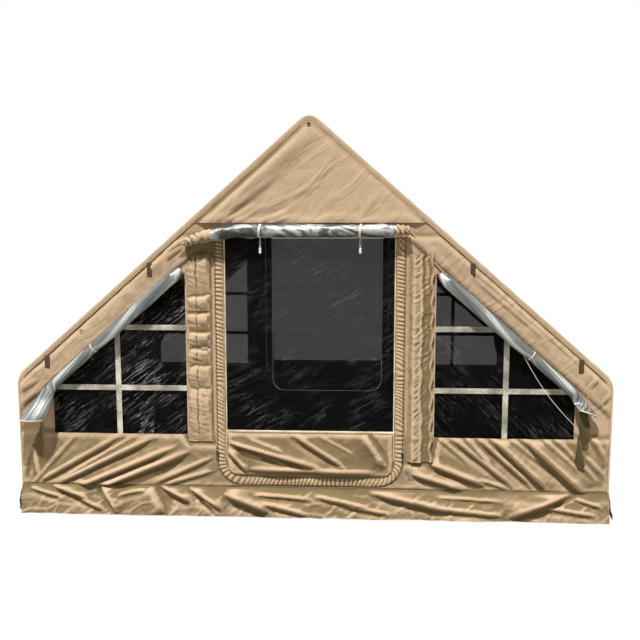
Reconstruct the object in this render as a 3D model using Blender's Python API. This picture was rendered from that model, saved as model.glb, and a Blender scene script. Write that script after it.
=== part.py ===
"""Inflatable house tent: air beams, canopy, doors, windows and inflation valve, in metres.

The origin is on the ground under the middle of the tent. +X is to the right of someone
who faces the front door, the front is towards -Y and +Z is up. Each gable end is built
once in its own frame, whose Y = 0 is the outer face of the gable wall and whose -Y points
away from the tent, and the rear end is the same end turned half round.
"""

import math

import bmesh
import bpy
from mathutils import Matrix, Vector

# The tent's driving dimensions
TENT_WIDTH = 3.0
TENT_LENGTH = 2.1
RIDGE_HEIGHT = 2.03
EAVE_HEIGHT = 0.72
EAVE_RADIUS = 0.11
RIDGE_RADIUS = 0.06
TUB_HEIGHT = 0.145

# Cloth and clearances
CLOTH = 0.004
FLAP_CLOTH = 0.003
NET = 0.002
GAP = 0.0003

# Air beams
ARCH_BEAM_RADIUS = 0.075
CROSS_BEAM_RADIUS = 0.06
ARCH_BEND_RADIUS = 0.15
EAVE_BEAM_INSET = 0.075
BEAM_END_DOME = 0.03
BEAM_END_RADIUS_SHARE = 0.75
BEAM_BEVEL_RESOLUTION = 3
BEAM_SIDES = 2 * BEAM_BEVEL_RESOLUTION + 4

# Roof edge and gable flap
ROOF_HEM = 0.05
GABLE_HEM_LIFT = 0.039
GABLE_FLAP_TOP_HALF_WIDTH = 0.012
GABLE_FOLD = 0.009
GABLE_FOLDS_ACROSS = 1.5
GABLE_FOLDS_DOWN = 1.1
GABLE_FLAP_COLUMNS = 12
GABLE_FLAP_STEPS = 6

# Folds in the gable wall below each window, fanned out from the wall's lower corner
WALL_FOLD = 0.018
WALL_FOLDS_IN_FAN = 4
WALL_FOLD_MARGIN = 0.015
WALL_FOLD_FADE = 0.12
WALL_FOLD_CELL = 0.075
WALL_FOLD_STEPS = 5

# Skirts
SKIRT_LAP = 0.008
END_SKIRT_FLARE = 0.024
SIDE_SKIRT_FLARE = 0.075
SKIRT_FOLD = 0.009
SKIRT_FOLD_SPACING = 0.3
SKIRT_FOLD_STEPS = 5
SKIRT_STEPS = 2
SKIRT_CURVE = 1.5
SIDE_SKIRT_END = 0.01

# Door
DOOR_HALF_WIDTH = 0.428
DOOR_HEAD_CLEARANCE = 0.1262
DOOR_SILL = 0.063
DOOR_CORNER_RADIUS = 0.09
KICK_PANEL_HEIGHT = 0.237
DOOR_HINGE_CLEARANCE = 0.003
ZIP_BAND = 0.05
ZIP_PROUD = 0.002

# Zip slider
SLIDER_INSET = 0.009
SLIDER_WIDTH = 0.014
SLIDER_HEIGHT = 0.022
SLIDER_THICKNESS = 0.006
PULL_WIDTH = 0.008
PULL_LENGTH = 0.034
SLIDER_LIFT = 0.122

# Storm flaps beside the door
STORM_HINGE_OFFSET = 0.0135
STORM_FLAP_WIDTH = 0.12
STORM_FLAP_TOP_DROP = 0.075
STORM_FLAP_LEFT_BOTTOM = 0.39
STORM_FLAP_RIGHT_BOTTOM = 0.30
STORM_PUCKER = 0.006
STORM_EDGE_WAVE = 0.005
STORM_PUCKER_SPACING = 0.1
STORM_PUCKER_STEPS = 3
STORM_COLUMNS = 2
STORM_FLAT_SHARE = 0.5

# Rolled door curtain and its ties
CURTAIN_RADIUS = 0.036
CURTAIN_LIFT = 0.038
CURTAIN_LEFT_OVERHANG = 0.192
CURTAIN_RIGHT_OVERHANG = 0.062
CURTAIN_END_CLEARANCE = 0.0042
CURTAIN_DROOP_LENGTH = 0.36
CURTAIN_END_RADIUS = 0.02
CURTAIN_END_TAPER = 0.11
CURTAIN_TIE_SHARES = (-0.56, 0.584)
CURTAIN_PINCH = 0.006
CURTAIN_PINCH_LENGTH = 0.05
TIE_WIDTH = 0.014
TIE_THICKNESS = 0.002
TIE_CLEARANCE = 0.001

# Toggles that hang from the front ties
TOGGLE_CORD_RADIUS = 0.0016
TOGGLE_CORD_LENGTH = 0.048
TOGGLE_RADIUS = 0.0065
TOGGLE_LENGTH = 0.028
TOGGLE_CHAMFER = 0.002

# Windows, their cross tapes and rolled covers
WINDOW_FLAP_CLEARANCE = 0.0135
WINDOW_OUTER_INSET = 0.182
WINDOW_SILL = 0.28
WINDOW_ROOF_INSET = 0.176
WINDOW_TAPE_WIDTH = 0.027
WINDOW_TAPE_THICKNESS = 0.0012
WINDOW_TAPE_WIDTH_SHARE = 0.505
WINDOW_TAPE_TOP_RISE = 0.009
WINDOW_TAPE_LOW_SHARE = 0.437
WINDOW_TAPE_TUCK = 0.015
COVER_TOP_SHIFT = 0.013
COVER_FOOT_INSET = 0.094
COVER_RADIUS = 0.028
COVER_TIE_SHARE = 0.588
COVER_PINCH = 0.005
COVER_PINCH_LENGTH = 0.06
COVER_TOP_TAPER = 0.05
COVER_TOP_RADIUS = 0.017
COVER_FLARE_LENGTH = 0.17
COVER_FLARE_HALF_WIDTH = 0.095
COVER_FLARE_HALF_THICKNESS = 0.009

# Guy tabs on the front roof edges
GUY_TAB_WIDTH = 0.025
GUY_TAB_LENGTH = 0.07
GUY_TAB_THICKNESS = 0.003
GUY_TAB_HEM_SHARE = 0.5
GUY_TAB_SHARES = {"upper": 0.533, "lower": 0.893}

# Inflation valve on the rear arch beam's left leg
VALVE_HEIGHT = 0.45
VALVE_FLANGE_RADIUS = 0.023
VALVE_FLANGE = 0.003
VALVE_BARREL_RADIUS = 0.017
VALVE_BARREL_LENGTH = 0.022
VALVE_BORE_RADIUS = 0.011
VALVE_CAP_RADIUS = 0.019
VALVE_CAP = 0.005
VALVE_CAP_LUG = 0.004
PIN_HEAD_RADIUS = 0.0104
PIN_HEAD = 0.003
PIN_STEM_RADIUS = 0.003
PIN_STEM_LENGTH = 0.011
PIN_DEPTH = 0.004

# Mesh fineness
EAVE_STEPS = 6
RIDGE_STEPS = 5
BEAM_BEND_STEPS = 6
CORNER_STEPS = 6
ROLL_SIDES = 12
ROLL_STEP = 0.04
TURN_STEPS = 16
DOME_STEPS = 3
SMOOTH_ANGLE = math.radians(40)

HALF_WIDTH = TENT_WIDTH / 2
HALF_LENGTH = TENT_LENGTH / 2
PITCH = math.atan2(RIDGE_HEIGHT - EAVE_HEIGHT, HALF_WIDTH)
INNER = CLOTH + GAP
FLAP_LAYER = CLOTH + GAP
TAPE_LAYER = WINDOW_TAPE_THICKNESS + GAP
ARCH_INSET = INNER + ARCH_BEAM_RADIUS
SIDES = {"left": -1, "right": 1}


def roof_height(x, inset=0.0):
    """The height of the roof line, moved inwards by inset, at a distance from the middle."""
    return RIDGE_HEIGHT - inset / math.cos(PITCH) - abs(x) * math.tan(PITCH)


# Places that follow the roof line and the tub
DOOR_BOTTOM = TUB_HEIGHT + DOOR_SILL
DOOR_TOP = roof_height(DOOR_HALF_WIDTH + ZIP_BAND, ROOF_HEM) - DOOR_HEAD_CLEARANCE
KICK_PANEL_TOP = DOOR_BOTTOM + KICK_PANEL_HEIGHT
SLIDER_LOW = DOOR_BOTTOM + SLIDER_LIFT
STORM_FLAP_TOP = DOOR_TOP - STORM_FLAP_TOP_DROP
CURTAIN_HEIGHT = DOOR_TOP + CURTAIN_LIFT
CURTAIN_LEFT_END = -DOOR_HALF_WIDTH - CURTAIN_LEFT_OVERHANG
CURTAIN_RIGHT_END = DOOR_HALF_WIDTH + CURTAIN_RIGHT_OVERHANG
CURTAIN_TIE_PLACES = [DOOR_HALF_WIDTH * share for share in CURTAIN_TIE_SHARES]
CURTAIN_END_TOP = roof_height(CURTAIN_LEFT_END, ROOF_HEM) - CURTAIN_END_CLEARANCE
CURTAIN_DROOP = CURTAIN_HEIGHT - CURTAIN_END_TOP + CURTAIN_END_RADIUS
GABLE_HEM_HEIGHT = CURTAIN_HEIGHT + GABLE_HEM_LIFT
WINDOW_BOTTOM = TUB_HEIGHT + WINDOW_SILL
STORM_HINGE_X = DOOR_HALF_WIDTH + ZIP_BAND + STORM_HINGE_OFFSET
WINDOW_INNER_X = STORM_HINGE_X + STORM_FLAP_WIDTH + WINDOW_FLAP_CLEARANCE
WINDOW_OUTER_X = HALF_WIDTH - WINDOW_OUTER_INSET
WINDOW_TAPE_X = WINDOW_INNER_X + (WINDOW_OUTER_X - WINDOW_INNER_X) * WINDOW_TAPE_WIDTH_SHARE
COVER_TOP_X = WINDOW_INNER_X + COVER_TOP_SHIFT
COVER_LENGTH = (HALF_WIDTH - COVER_FOOT_INSET - COVER_TOP_X) / math.cos(PITCH)


class Finish:
    """One material: its colour as an sRGB hex value, its roughness and its metallic value."""

    def __init__(self, name, colour, roughness, metallic=0.0):
        channels = [int(colour[i : i + 2], 16) / 255 for i in (1, 3, 5)]
        linear = [c / 12.92 if c <= 0.04045 else ((c + 0.055) / 1.055) ** 2.4 for c in channels]
        self.material = bpy.data.materials.new(name)
        self.material.use_nodes = True
        shader = self.material.node_tree.nodes["Principled BSDF"]
        shader.inputs["Base Color"].default_value = (*linear, 1.0)
        shader.inputs["Roughness"].default_value = roughness
        shader.inputs["Metallic"].default_value = metallic
        self.material.diffuse_color = (*linear, 1.0)


def clear_scene():
    """Removes every object of the scene."""
    for thing in list(bpy.data.objects):
        bpy.data.objects.remove(thing, do_unlink=True)


def make_finishes():
    """The finishes, by name."""
    return {
        "canvas": Finish("khaki_canvas", "#C7A984", 0.85),
        "silver": Finish("silver_coated_cloth", "#A9ADB2", 0.4, 0.3),
        "net": Finish("black_net", "#141414", 0.8),
        "tape": Finish("reflective_tape", "#C9C7BD", 0.45),
        "zip": Finish("zip_tape", "#B99C76", 0.8),
        "slider": Finish("zip_slider_metal", "#2A2A2A", 0.4, 0.8),
        "beam": Finish("beam_film", "#4B4F4A", 0.5),
        "floor": Finish("floor_sheet", "#1B1C1D", 0.55),
        "white": Finish("white_plastic", "#E6E4DE", 0.5),
        "valve": Finish("valve_plastic", "#1E2022", 0.45),
        "webbing": Finish("webbing", "#8F7A55", 0.9),
    }


def place_object(name, data, finish, parent=None, at=(0.0, 0.0, 0.0)):
    """Links an object that holds data, dressed and parented, with its origin at a point."""
    data.materials.append(finish.material)
    thing = bpy.data.objects.new(name, data)
    thing.location = at
    thing.parent = parent
    bpy.context.scene.collection.objects.link(thing)
    return thing


def mesh_of(name, shape, smooth=False):
    """Turns a bmesh into a mesh whose faces all point out."""
    bmesh.ops.recalc_face_normals(shape, faces=shape.faces)
    mesh = bpy.data.meshes.new(name)
    shape.to_mesh(mesh)
    shape.free()
    if smooth:
        mesh.shade_smooth()
        mesh.set_sharp_from_angle(angle=SMOOTH_ANGLE)
    return mesh


def make_empty(name, at, turn=0.0):
    """An empty that pieces are placed by."""
    empty = bpy.data.objects.new(name, None)
    empty.location = at
    empty.rotation_euler = (0.0, 0.0, turn)
    bpy.context.scene.collection.objects.link(empty)
    return empty


# Outlines, as (x, z) points


def arc(centre, radius, start, end, steps):
    """The points of an arc, both ends included."""
    angles = [start + (end - start) * i / steps for i in range(steps + 1)]
    return [(centre[0] + radius * math.cos(a), centre[1] + radius * math.sin(a)) for a in angles]


def roof_x(z, inset=0.0):
    """The distance from the middle at which the roof line, moved inwards, has a height."""
    return (RIDGE_HEIGHT - inset / math.cos(PITCH) - z) / math.tan(PITCH)


def eave_centre():
    """The middle of the eave's arc on the right side."""
    x = HALF_WIDTH - EAVE_RADIUS
    return x, roof_height(x, EAVE_RADIUS)


def roof_line(inset, ridge_x=0.0):
    """The right half of the canopy's line from the eave seam to the ridge, moved inwards."""
    normal = math.pi / 2 - PITCH
    eave = arc(eave_centre(), EAVE_RADIUS - inset, 0.0, normal, EAVE_STEPS)
    ridge_centre = (ridge_x, roof_height(0.0, RIDGE_RADIUS))
    ridge = arc(ridge_centre, RIDGE_RADIUS - inset, normal, math.pi / 2, RIDGE_STEPS)
    return eave + ridge


def gable_outline(inset, foot):
    """The closed outline of a gable, moved inwards, from a height upwards."""
    right = [(HALF_WIDTH - inset, foot), *roof_line(inset)]
    left = [(-x, z) for x, z in reversed(right)]
    return right + left[1:]


def rounded_foot(half_width, bottom, top, radius):
    """A rectangle whose two lower corners are round."""
    right = arc((half_width - radius, bottom + radius), radius, -math.pi / 2, 0.0, CORNER_STEPS)
    left = [(-x, z) for x, z in reversed(right)]
    return [*right, (half_width, top), (-half_width, top), *left]


def window_outline(side, grow=0.0):
    """A window: upright inner and outer edges, flat foot and a top that follows the roof."""
    inner = WINDOW_INNER_X - grow
    outer = WINDOW_OUTER_X + grow
    inset = WINDOW_ROOF_INSET - grow
    foot = WINDOW_BOTTOM - grow
    corners = [
        (inner, foot),
        (outer, foot),
        (outer, roof_height(outer, inset)),
        (inner, roof_height(inner, inset)),
    ]
    return [(side * x, z) for x, z in corners]


# Shapes, as bmeshes


def flat_sheet(outline, holes=(), front=0.0):
    """An open sheet in the XZ plane at Y = front, with holes cut through it."""
    shape = bmesh.new()
    for line in (outline, *holes):
        points = [shape.verts.new((x, front, z)) for x, z in line]
        for i, point in enumerate(points):
            shape.edges.new((points[i - 1], point))
    bmesh.ops.triangle_fill(shape, use_beauty=True, edges=shape.edges[:])
    return shape


def plate(outline, thickness, holes=(), front=0.0):
    """A flat plate in the XZ plane, from Y = front inwards, with holes cut through it."""
    shape = flat_sheet(outline, holes, front)
    thicken(shape, thickness)
    return shape


def cut_across(shape, at, normal):
    """Cuts every face that a plane crosses in two, and keeps both."""
    everything = [*shape.verts, *shape.edges, *shape.faces]
    bmesh.ops.bisect_plane(shape, geom=everything, plane_co=at, plane_no=normal)


def eased(share):
    """A share held between 0 and 1, with soft ends."""
    held = min(1.0, max(0.0, share))
    return held * held * (3.0 - 2.0 * held)


def swell(turns):
    """A wave that rises from 0 to 1 and falls back, once in each turn."""
    return (1 - math.cos(2 * math.pi * turns)) / 2


def thicken(shape, thickness):
    """Gives an open sheet its thickness, by extruding it along +Y."""
    grown = bmesh.ops.extrude_face_region(shape, geom=shape.faces[:])
    moved = [item for item in grown["geom"] if isinstance(item, bmesh.types.BMVert)]
    bmesh.ops.translate(shape, vec=(0.0, thickness, 0.0), verts=moved)


def draped_sheet(columns, rows, place, thickness):
    """A sheet of cloth whose front face follows place(u, v), with u and v from 0 to 1."""
    shape = bmesh.new()
    bmesh.ops.create_grid(shape, x_segments=columns, y_segments=rows, size=1)
    for point in shape.verts:
        point.co = place((1 + point.co.x) / 2, (1 + point.co.y) / 2)
    thicken(shape, thickness)
    return shape


def loft(rings, closed=False):
    """A skin over rings of as many points each, with flat ends unless it closes on itself."""
    shape = bmesh.new()
    loops = [[shape.verts.new(point) for point in ring] for ring in rings]
    if closed:
        loops.append(loops[0])
    else:
        shape.faces.new(loops[0])
        shape.faces.new(loops[-1])
    for near, far in zip(loops, loops[1:]):
        for i, point in enumerate(near):
            shape.faces.new((near[i - 1], point, far[i], far[i - 1]))
    return shape


def turned(profile, axis="Z"):
    """A turned solid: (radius, along) points spun round the axis, closed on the axis."""
    shape = bmesh.new()
    points = [shape.verts.new((radius, 0.0, along)) for radius, along in profile]
    edges = [shape.edges.new(pair) for pair in zip(points, points[1:])]
    bmesh.ops.spin(
        shape,
        geom=points + edges,
        axis=(0.0, 0.0, 1.0),
        cent=(0.0, 0.0, 0.0),
        angle=2 * math.pi,
        steps=TURN_STEPS,
        use_merge=True,
    )
    bmesh.ops.remove_doubles(shape, verts=shape.verts, dist=GAP / 10)
    if axis == "X":
        turn = Matrix.Rotation(math.pi / 2, 4, "Y")
        bmesh.ops.transform(shape, matrix=turn, verts=shape.verts)
    return shape


def ring_band(radius, thickness, width):
    """A flat band closed round the X axis."""
    outer = radius + thickness
    half = width / 2
    rings = []
    for i in range(TURN_STEPS):
        angle = 2 * math.pi * i / TURN_STEPS
        y, z = math.cos(angle), math.sin(angle)
        rings.append(
            [
                (-half, radius * y, radius * z),
                (half, radius * y, radius * z),
                (half, outer * y, outer * z),
                (-half, outer * y, outer * z),
            ]
        )
    return loft(rings, closed=True)


def block(low, high):
    """A box between two corners."""
    shape = bmesh.new()
    size = Vector(high) - Vector(low)
    middle = (Vector(high) + Vector(low)) / 2
    matrix = Matrix.Translation(middle) @ Matrix.Diagonal((*size, 1.0))
    bmesh.ops.create_cube(shape, size=1.0, matrix=matrix)
    return shape


def air_beam(name, route, radius, finish, parent=None):
    """A round air beam along a route, with domed ends."""
    curve = bpy.data.curves.new(name, "CURVE")
    curve.dimensions = "3D"
    curve.bevel_depth = radius
    curve.bevel_resolution = BEAM_BEVEL_RESOLUTION
    curve.use_fill_caps = True
    first, last = Vector(route[0]), Vector(route[-1])
    dome_in = first + (Vector(route[1]) - first).normalized() * BEAM_END_DOME
    dome_out = last + (Vector(route[-2]) - last).normalized() * BEAM_END_DOME
    points = [first, dome_in, *[Vector(p) for p in route[1:-1]], dome_out, last]
    spline = curve.splines.new("POLY")
    spline.points.add(len(points) - 1)
    for place, point in zip(spline.points, points):
        place.co = (*point, 1.0)
        place.radius = 1.0
    spline.points[0].radius = BEAM_END_RADIUS_SHARE
    spline.points[-1].radius = BEAM_END_RADIUS_SHARE
    return place_object(name, curve, finish, parent)


# Air frame


def arch_route():
    """The middle line of an arch beam in its gable's frame, from foot to foot."""
    foot = CLOTH + GAP
    normal = math.pi / 2 - PITCH
    bend_inset = ARCH_INSET + ARCH_BEND_RADIUS
    bend_x = HALF_WIDTH - bend_inset
    bend_centre = (bend_x, roof_height(bend_x, bend_inset))
    crown_centre = (0.0, roof_height(0.0, bend_inset))
    right = [(HALF_WIDTH - ARCH_INSET, foot)]
    right += arc(bend_centre, ARCH_BEND_RADIUS, 0.0, normal, BEAM_BEND_STEPS)
    right += arc(crown_centre, ARCH_BEND_RADIUS, normal, math.pi / 2, BEAM_BEND_STEPS)
    left = [(-x, z) for x, z in reversed(right)]
    return [(x, ARCH_INSET, z) for x, z in right + left[1:]]


def build_air_frame(ends, finish):
    """Two arch beams, a ridge beam between their crowns and a beam along each eave."""
    for name, end in ends.items():
        air_beam(f"{name}_arch_beam", arch_route(), ARCH_BEAM_RADIUS, finish["beam"], end)
    flat = ARCH_BEAM_RADIUS * math.cos(math.pi / BEAM_SIDES)
    reach = HALF_LENGTH - ARCH_INSET - flat - GAP
    crown = roof_height(0.0, ARCH_INSET + ARCH_BEND_RADIUS) + ARCH_BEND_RADIUS
    ridge = [(0.0, -reach, crown), (0.0, reach, crown)]
    air_beam("ridge_beam", ridge, CROSS_BEAM_RADIUS, finish["beam"])
    eave_x = HALF_WIDTH - EAVE_BEAM_INSET
    eave_z = roof_height(eave_x, EAVE_BEAM_INSET)
    for side, sign in SIDES.items():
        eave = [(sign * eave_x, -reach, eave_z), (sign * eave_x, reach, eave_z)]
        air_beam(f"eave_beam_{side}", eave, CROSS_BEAM_RADIUS, finish["beam"])


def build_valve(finish):
    """The inflation valve: body, sprung push pin and hinged cap, facing into the cabin."""
    seat_x = -(HALF_WIDTH - ARCH_INSET - ARCH_BEAM_RADIUS) + GAP
    seat = (seat_x, HALF_LENGTH - ARCH_INSET, VALVE_HEIGHT)
    mouth = VALVE_FLANGE + VALVE_BARREL_LENGTH
    body = [
        (VALVE_BORE_RADIUS, 0.0),
        (VALVE_FLANGE_RADIUS, 0.0),
        (VALVE_FLANGE_RADIUS, VALVE_FLANGE),
        (VALVE_BARREL_RADIUS, VALVE_FLANGE),
        (VALVE_BARREL_RADIUS, mouth),
        (VALVE_BORE_RADIUS, mouth),
        (VALVE_BORE_RADIUS, 0.0),
    ]
    mesh = mesh_of("valve_body", turned(body, "X"), smooth=True)
    place_object("valve_body", mesh, finish["valve"], at=seat)
    head_back = mouth - PIN_DEPTH - PIN_HEAD
    pin = [
        (0.0, -PIN_STEM_LENGTH),
        (PIN_STEM_RADIUS, -PIN_STEM_LENGTH),
        (PIN_STEM_RADIUS, 0.0),
        (PIN_HEAD_RADIUS, 0.0),
        (PIN_HEAD_RADIUS, PIN_HEAD),
        (0.0, PIN_HEAD),
    ]
    pin_at = (seat_x + head_back, seat[1], seat[2])
    mesh = mesh_of("valve_push_pin", turned(pin, "X"), smooth=True)
    place_object("valve_push_pin", mesh, finish["white"], at=pin_at)
    hinge_z = VALVE_CAP_RADIUS + VALVE_CAP_LUG
    lug = (hinge_z - VALVE_CAP_RADIUS) * 2
    outline = arc((0.0, -hinge_z), VALVE_CAP_RADIUS, math.pi / 2, 5 * math.pi / 2, 2 * TURN_STEPS)
    outline = outline[2:-2] + [(lug, 0.0), (-lug, 0.0)]
    cap = plate(outline, VALVE_CAP)
    bmesh.ops.rotate(cap, matrix=Matrix.Rotation(math.pi / 2, 3, "Z"), verts=cap.verts)
    bmesh.ops.translate(cap, vec=(VALVE_CAP, 0.0, 0.0), verts=cap.verts)
    cap_at = (seat_x + mouth + GAP, seat[1], seat[2] + hinge_z)
    place_object("valve_cap", mesh_of("valve_cap", cap), finish["valve"], at=cap_at)


# Canopy


def build_roof(finish):
    """Two roof panels that meet at the ridge, with a hem that laps over each gable."""
    outer = HALF_LENGTH + GAP + CLOTH
    inner = HALF_LENGTH + GAP
    top, under, hem = (roof_line(inset, GAP / 2) for inset in (0.0, CLOTH, ROOF_HEM))
    for side, sign in SIDES.items():
        rings = []
        for (tx, tz), (ux, uz), (hx, hz) in zip(top, under, hem):
            section = [
                (tx, -outer, tz),
                (tx, outer, tz),
                (hx, outer, hz),
                (hx, inner, hz),
                (ux, inner, uz),
                (ux, -inner, uz),
                (hx, -inner, hz),
                (hx, -outer, hz),
            ]
            rings.append([(sign * x, y, z) for x, y, z in section])
        mesh = mesh_of(f"roof_{side}", loft(rings), smooth=True)
        place_object(f"roof_{side}", mesh, finish["canvas"])


def build_side_walls(finish):
    """An upright wall along each side, from the tub to the eave seam."""
    foot = TUB_HEIGHT + GAP
    head = eave_centre()[1] - GAP
    for side, sign in SIDES.items():
        near, far = sorted((sign * (HALF_WIDTH - CLOTH), sign * HALF_WIDTH))
        wall = block((near, -HALF_LENGTH, foot), (far, HALF_LENGTH, head))
        mesh = mesh_of(f"side_wall_{side}", wall)
        place_object(f"side_wall_{side}", mesh, finish["canvas"])


def build_groundsheet(finish):
    """The floor sheet, with its edge turned up into a tub."""
    shape = block((-HALF_WIDTH, -HALF_LENGTH, 0.0), (HALF_WIDTH, HALF_LENGTH, TUB_HEIGHT))
    lid = max(shape.faces, key=lambda face: face.calc_center_median().z)
    bmesh.ops.inset_region(shape, faces=[lid], thickness=CLOTH)
    floor = bmesh.ops.extrude_face_region(shape, geom=[lid])
    sunk = [item for item in floor["geom"] if isinstance(item, bmesh.types.BMVert)]
    bmesh.ops.translate(shape, vec=(0.0, 0.0, CLOTH - TUB_HEIGHT), verts=sunk)
    bmesh.ops.delete(shape, geom=[lid], context="FACES_ONLY")
    place_object("groundsheet", mesh_of("groundsheet", shape), finish["floor"])


def skirt_sheet(half_run, flare):
    """A mud skirt along X that falls from the tub's seam to the ground, in soft folds."""
    folds = max(2, round(2 * half_run / SKIRT_FOLD_SPACING))
    head = TUB_HEIGHT + SKIRT_LAP

    def place(u, v):
        drop = 1.0 - v
        fold = SKIRT_FOLD * drop * swell(folds * u)
        out = GAP + FLAP_CLOTH + flare * drop**SKIRT_CURVE + fold
        return half_run * (2 * u - 1), -out, head * v

    return draped_sheet(folds * SKIRT_FOLD_STEPS, SKIRT_STEPS, place, FLAP_CLOTH)


def build_skirts(ends, finish):
    """A skirt on each gable end and on each side."""
    mesh = mesh_of("end_skirt", skirt_sheet(HALF_WIDTH, END_SKIRT_FLARE), smooth=True)
    for name, end in ends.items():
        place_object(f"skirt_{name}", mesh.copy(), finish["canvas"], end)
    run = HALF_LENGTH - SIDE_SKIRT_END
    mesh = mesh_of("side_skirt", skirt_sheet(run, SIDE_SKIRT_FLARE), smooth=True)
    for side, sign in SIDES.items():
        edge = make_empty(f"{side}_side", (sign * HALF_WIDTH, 0.0, 0.0), sign * math.pi / 2)
        place_object(f"skirt_{side}", mesh.copy(), finish["canvas"], edge)


# Gable ends


def wall_fold(x, z):
    """How far the gable wall stands out at a point, in folds that fan from its lower corner."""
    near, far = WINDOW_INNER_X + WALL_FOLD_MARGIN, HALF_WIDTH - INNER - WALL_FOLD_MARGIN
    low = TUB_HEIGHT + SKIRT_LAP + WALL_FOLD_MARGIN
    high = WINDOW_BOTTOM - WALL_FOLD_MARGIN
    if not (near < abs(x) < far and low < z < high):
        return 0.0
    across = eased((abs(x) - near) / WALL_FOLD_FADE) * eased((far - abs(x)) / WALL_FOLD_FADE)
    upright = math.sqrt(math.sin(math.pi * (z - low) / (high - low)))
    angle = math.atan2(z - low, far - abs(x)) / (math.pi / 2)
    return WALL_FOLD * across * upright * swell(WALL_FOLDS_IN_FAN * math.sqrt(angle))


def gable_wall():
    """The gable wall, with its doorway and its two windows cut out and folds under these."""
    doorway = rounded_foot(
        DOOR_HALF_WIDTH + ZIP_BAND,
        DOOR_BOTTOM - ZIP_BAND,
        DOOR_TOP + DOOR_HINGE_CLEARANCE,
        DOOR_CORNER_RADIUS + ZIP_BAND,
    )
    windows = [window_outline(sign) for sign in SIDES.values()]
    shape = flat_sheet(gable_outline(INNER, TUB_HEIGHT + GAP), [doorway, *windows])
    run = HALF_WIDTH - WINDOW_INNER_X
    columns = round(run / WALL_FOLD_CELL)
    for i in range(columns):
        x = WINDOW_INNER_X + run * i / columns
        cut_across(shape, (x, 0.0, 0.0), (1.0, 0.0, 0.0))
        cut_across(shape, (-x, 0.0, 0.0), (1.0, 0.0, 0.0))
    for i in range(WALL_FOLD_STEPS):
        z = TUB_HEIGHT + (WINDOW_BOTTOM - TUB_HEIGHT) * (2 * i + 1) / (2 * WALL_FOLD_STEPS)
        cut_across(shape, (0.0, 0.0, z), (0.0, 0.0, 1.0))
    bmesh.ops.triangulate(shape, faces=shape.faces)
    for point in shape.verts:
        point.co.y -= wall_fold(point.co.x, point.co.z)
    thicken(shape, CLOTH)
    return shape


def gable_flap():
    """The outer gable panel, which hangs from the roof hem to a hem over the door."""
    inset = ROOF_HEM + GAP
    head = roof_height(GABLE_FLAP_TOP_HALF_WIDTH, inset)

    def place(u, v):
        height = GABLE_HEM_HEIGHT + (head - GABLE_HEM_HEIGHT) * v
        across = 2 * u - 1
        fold = GABLE_FOLD * (1.0 - across**2) * swell(GABLE_FOLDS_ACROSS * u + GABLE_FOLDS_DOWN * v)
        return across * roof_x(height, inset), -FLAP_LAYER - fold, height

    return draped_sheet(GABLE_FLAP_COLUMNS, GABLE_FLAP_STEPS, place, CLOTH)


def zip_band():
    """The zip and its tape, in a U round the door."""
    inner = rounded_foot(DOOR_HALF_WIDTH + GAP, DOOR_BOTTOM - GAP, DOOR_TOP, DOOR_CORNER_RADIUS + GAP)
    width = ZIP_BAND - GAP
    outer = rounded_foot(
        DOOR_HALF_WIDTH + width,
        DOOR_BOTTOM - width,
        DOOR_TOP,
        DOOR_CORNER_RADIUS + width,
    )
    right = CORNER_STEPS + 2
    outline = outer[-right:] + outer[:right] + list(reversed(inner[-right:] + inner[:right]))
    return plate(outline, CLOTH + ZIP_PROUD, front=-ZIP_PROUD)


def zip_slider():
    """A zip slider with its pull, round a point in the middle of the slider's body."""
    body, height = SLIDER_WIDTH / 2, SLIDER_HEIGHT / 2
    pull = PULL_WIDTH / 2
    tip = arc((0.0, pull - height - PULL_LENGTH), pull, -math.pi, 0.0, CORNER_STEPS)
    outline = [(body, height), (-body, height), (-body, -height), (-pull, -height)]
    outline += [*tip, (pull, -height), (body, -height)]
    return plate(outline, SLIDER_THICKNESS, front=-SLIDER_THICKNESS / 2)


def storm_flap(sign, bottom):
    """The flap beside the door zip, folded back and puckered, from its sewn edge outwards."""
    length = STORM_FLAP_TOP - bottom
    puckers = max(1, round(length / STORM_PUCKER_SPACING))

    def place(u, v):
        pucker = STORM_PUCKER * min(1.0, u / STORM_FLAT_SHARE) * swell(puckers * v)
        width = STORM_FLAP_WIDTH + STORM_EDGE_WAVE * math.sin(2 * math.pi * puckers * v + math.pi / 4)
        return sign * u * width, -FLAP_CLOTH / 2 - pucker, bottom + length * v

    return draped_sheet(STORM_COLUMNS, puckers * STORM_PUCKER_STEPS, place, FLAP_CLOTH)


def curtain_middle(x):
    """The (y, z) of the rolled curtain's middle line at a place across the door."""
    share = min(1.0, max(0.0, (x - CURTAIN_LEFT_END) / CURTAIN_DROOP_LENGTH))
    rise = 1.0 - (1.0 - share) ** 2
    return -CURTAIN_RADIUS - GAP, CURTAIN_HEIGHT - CURTAIN_DROOP * (1.0 - rise)


def curtain_radius(x):
    """The rolled curtain's radius at a place across the door."""
    to_end = min(x - CURTAIN_LEFT_END, CURTAIN_RIGHT_END - x)
    share = min(1.0, to_end / CURTAIN_END_TAPER)
    radius = CURTAIN_END_RADIUS + (CURTAIN_RADIUS - CURTAIN_END_RADIUS) * math.sqrt(share)
    for tie in CURTAIN_TIE_PLACES:
        beside = max(0.0, abs(x - tie) - TIE_WIDTH / 2)
        radius -= CURTAIN_PINCH * max(0.0, 1.0 - beside / CURTAIN_PINCH_LENGTH)
    return radius


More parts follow.
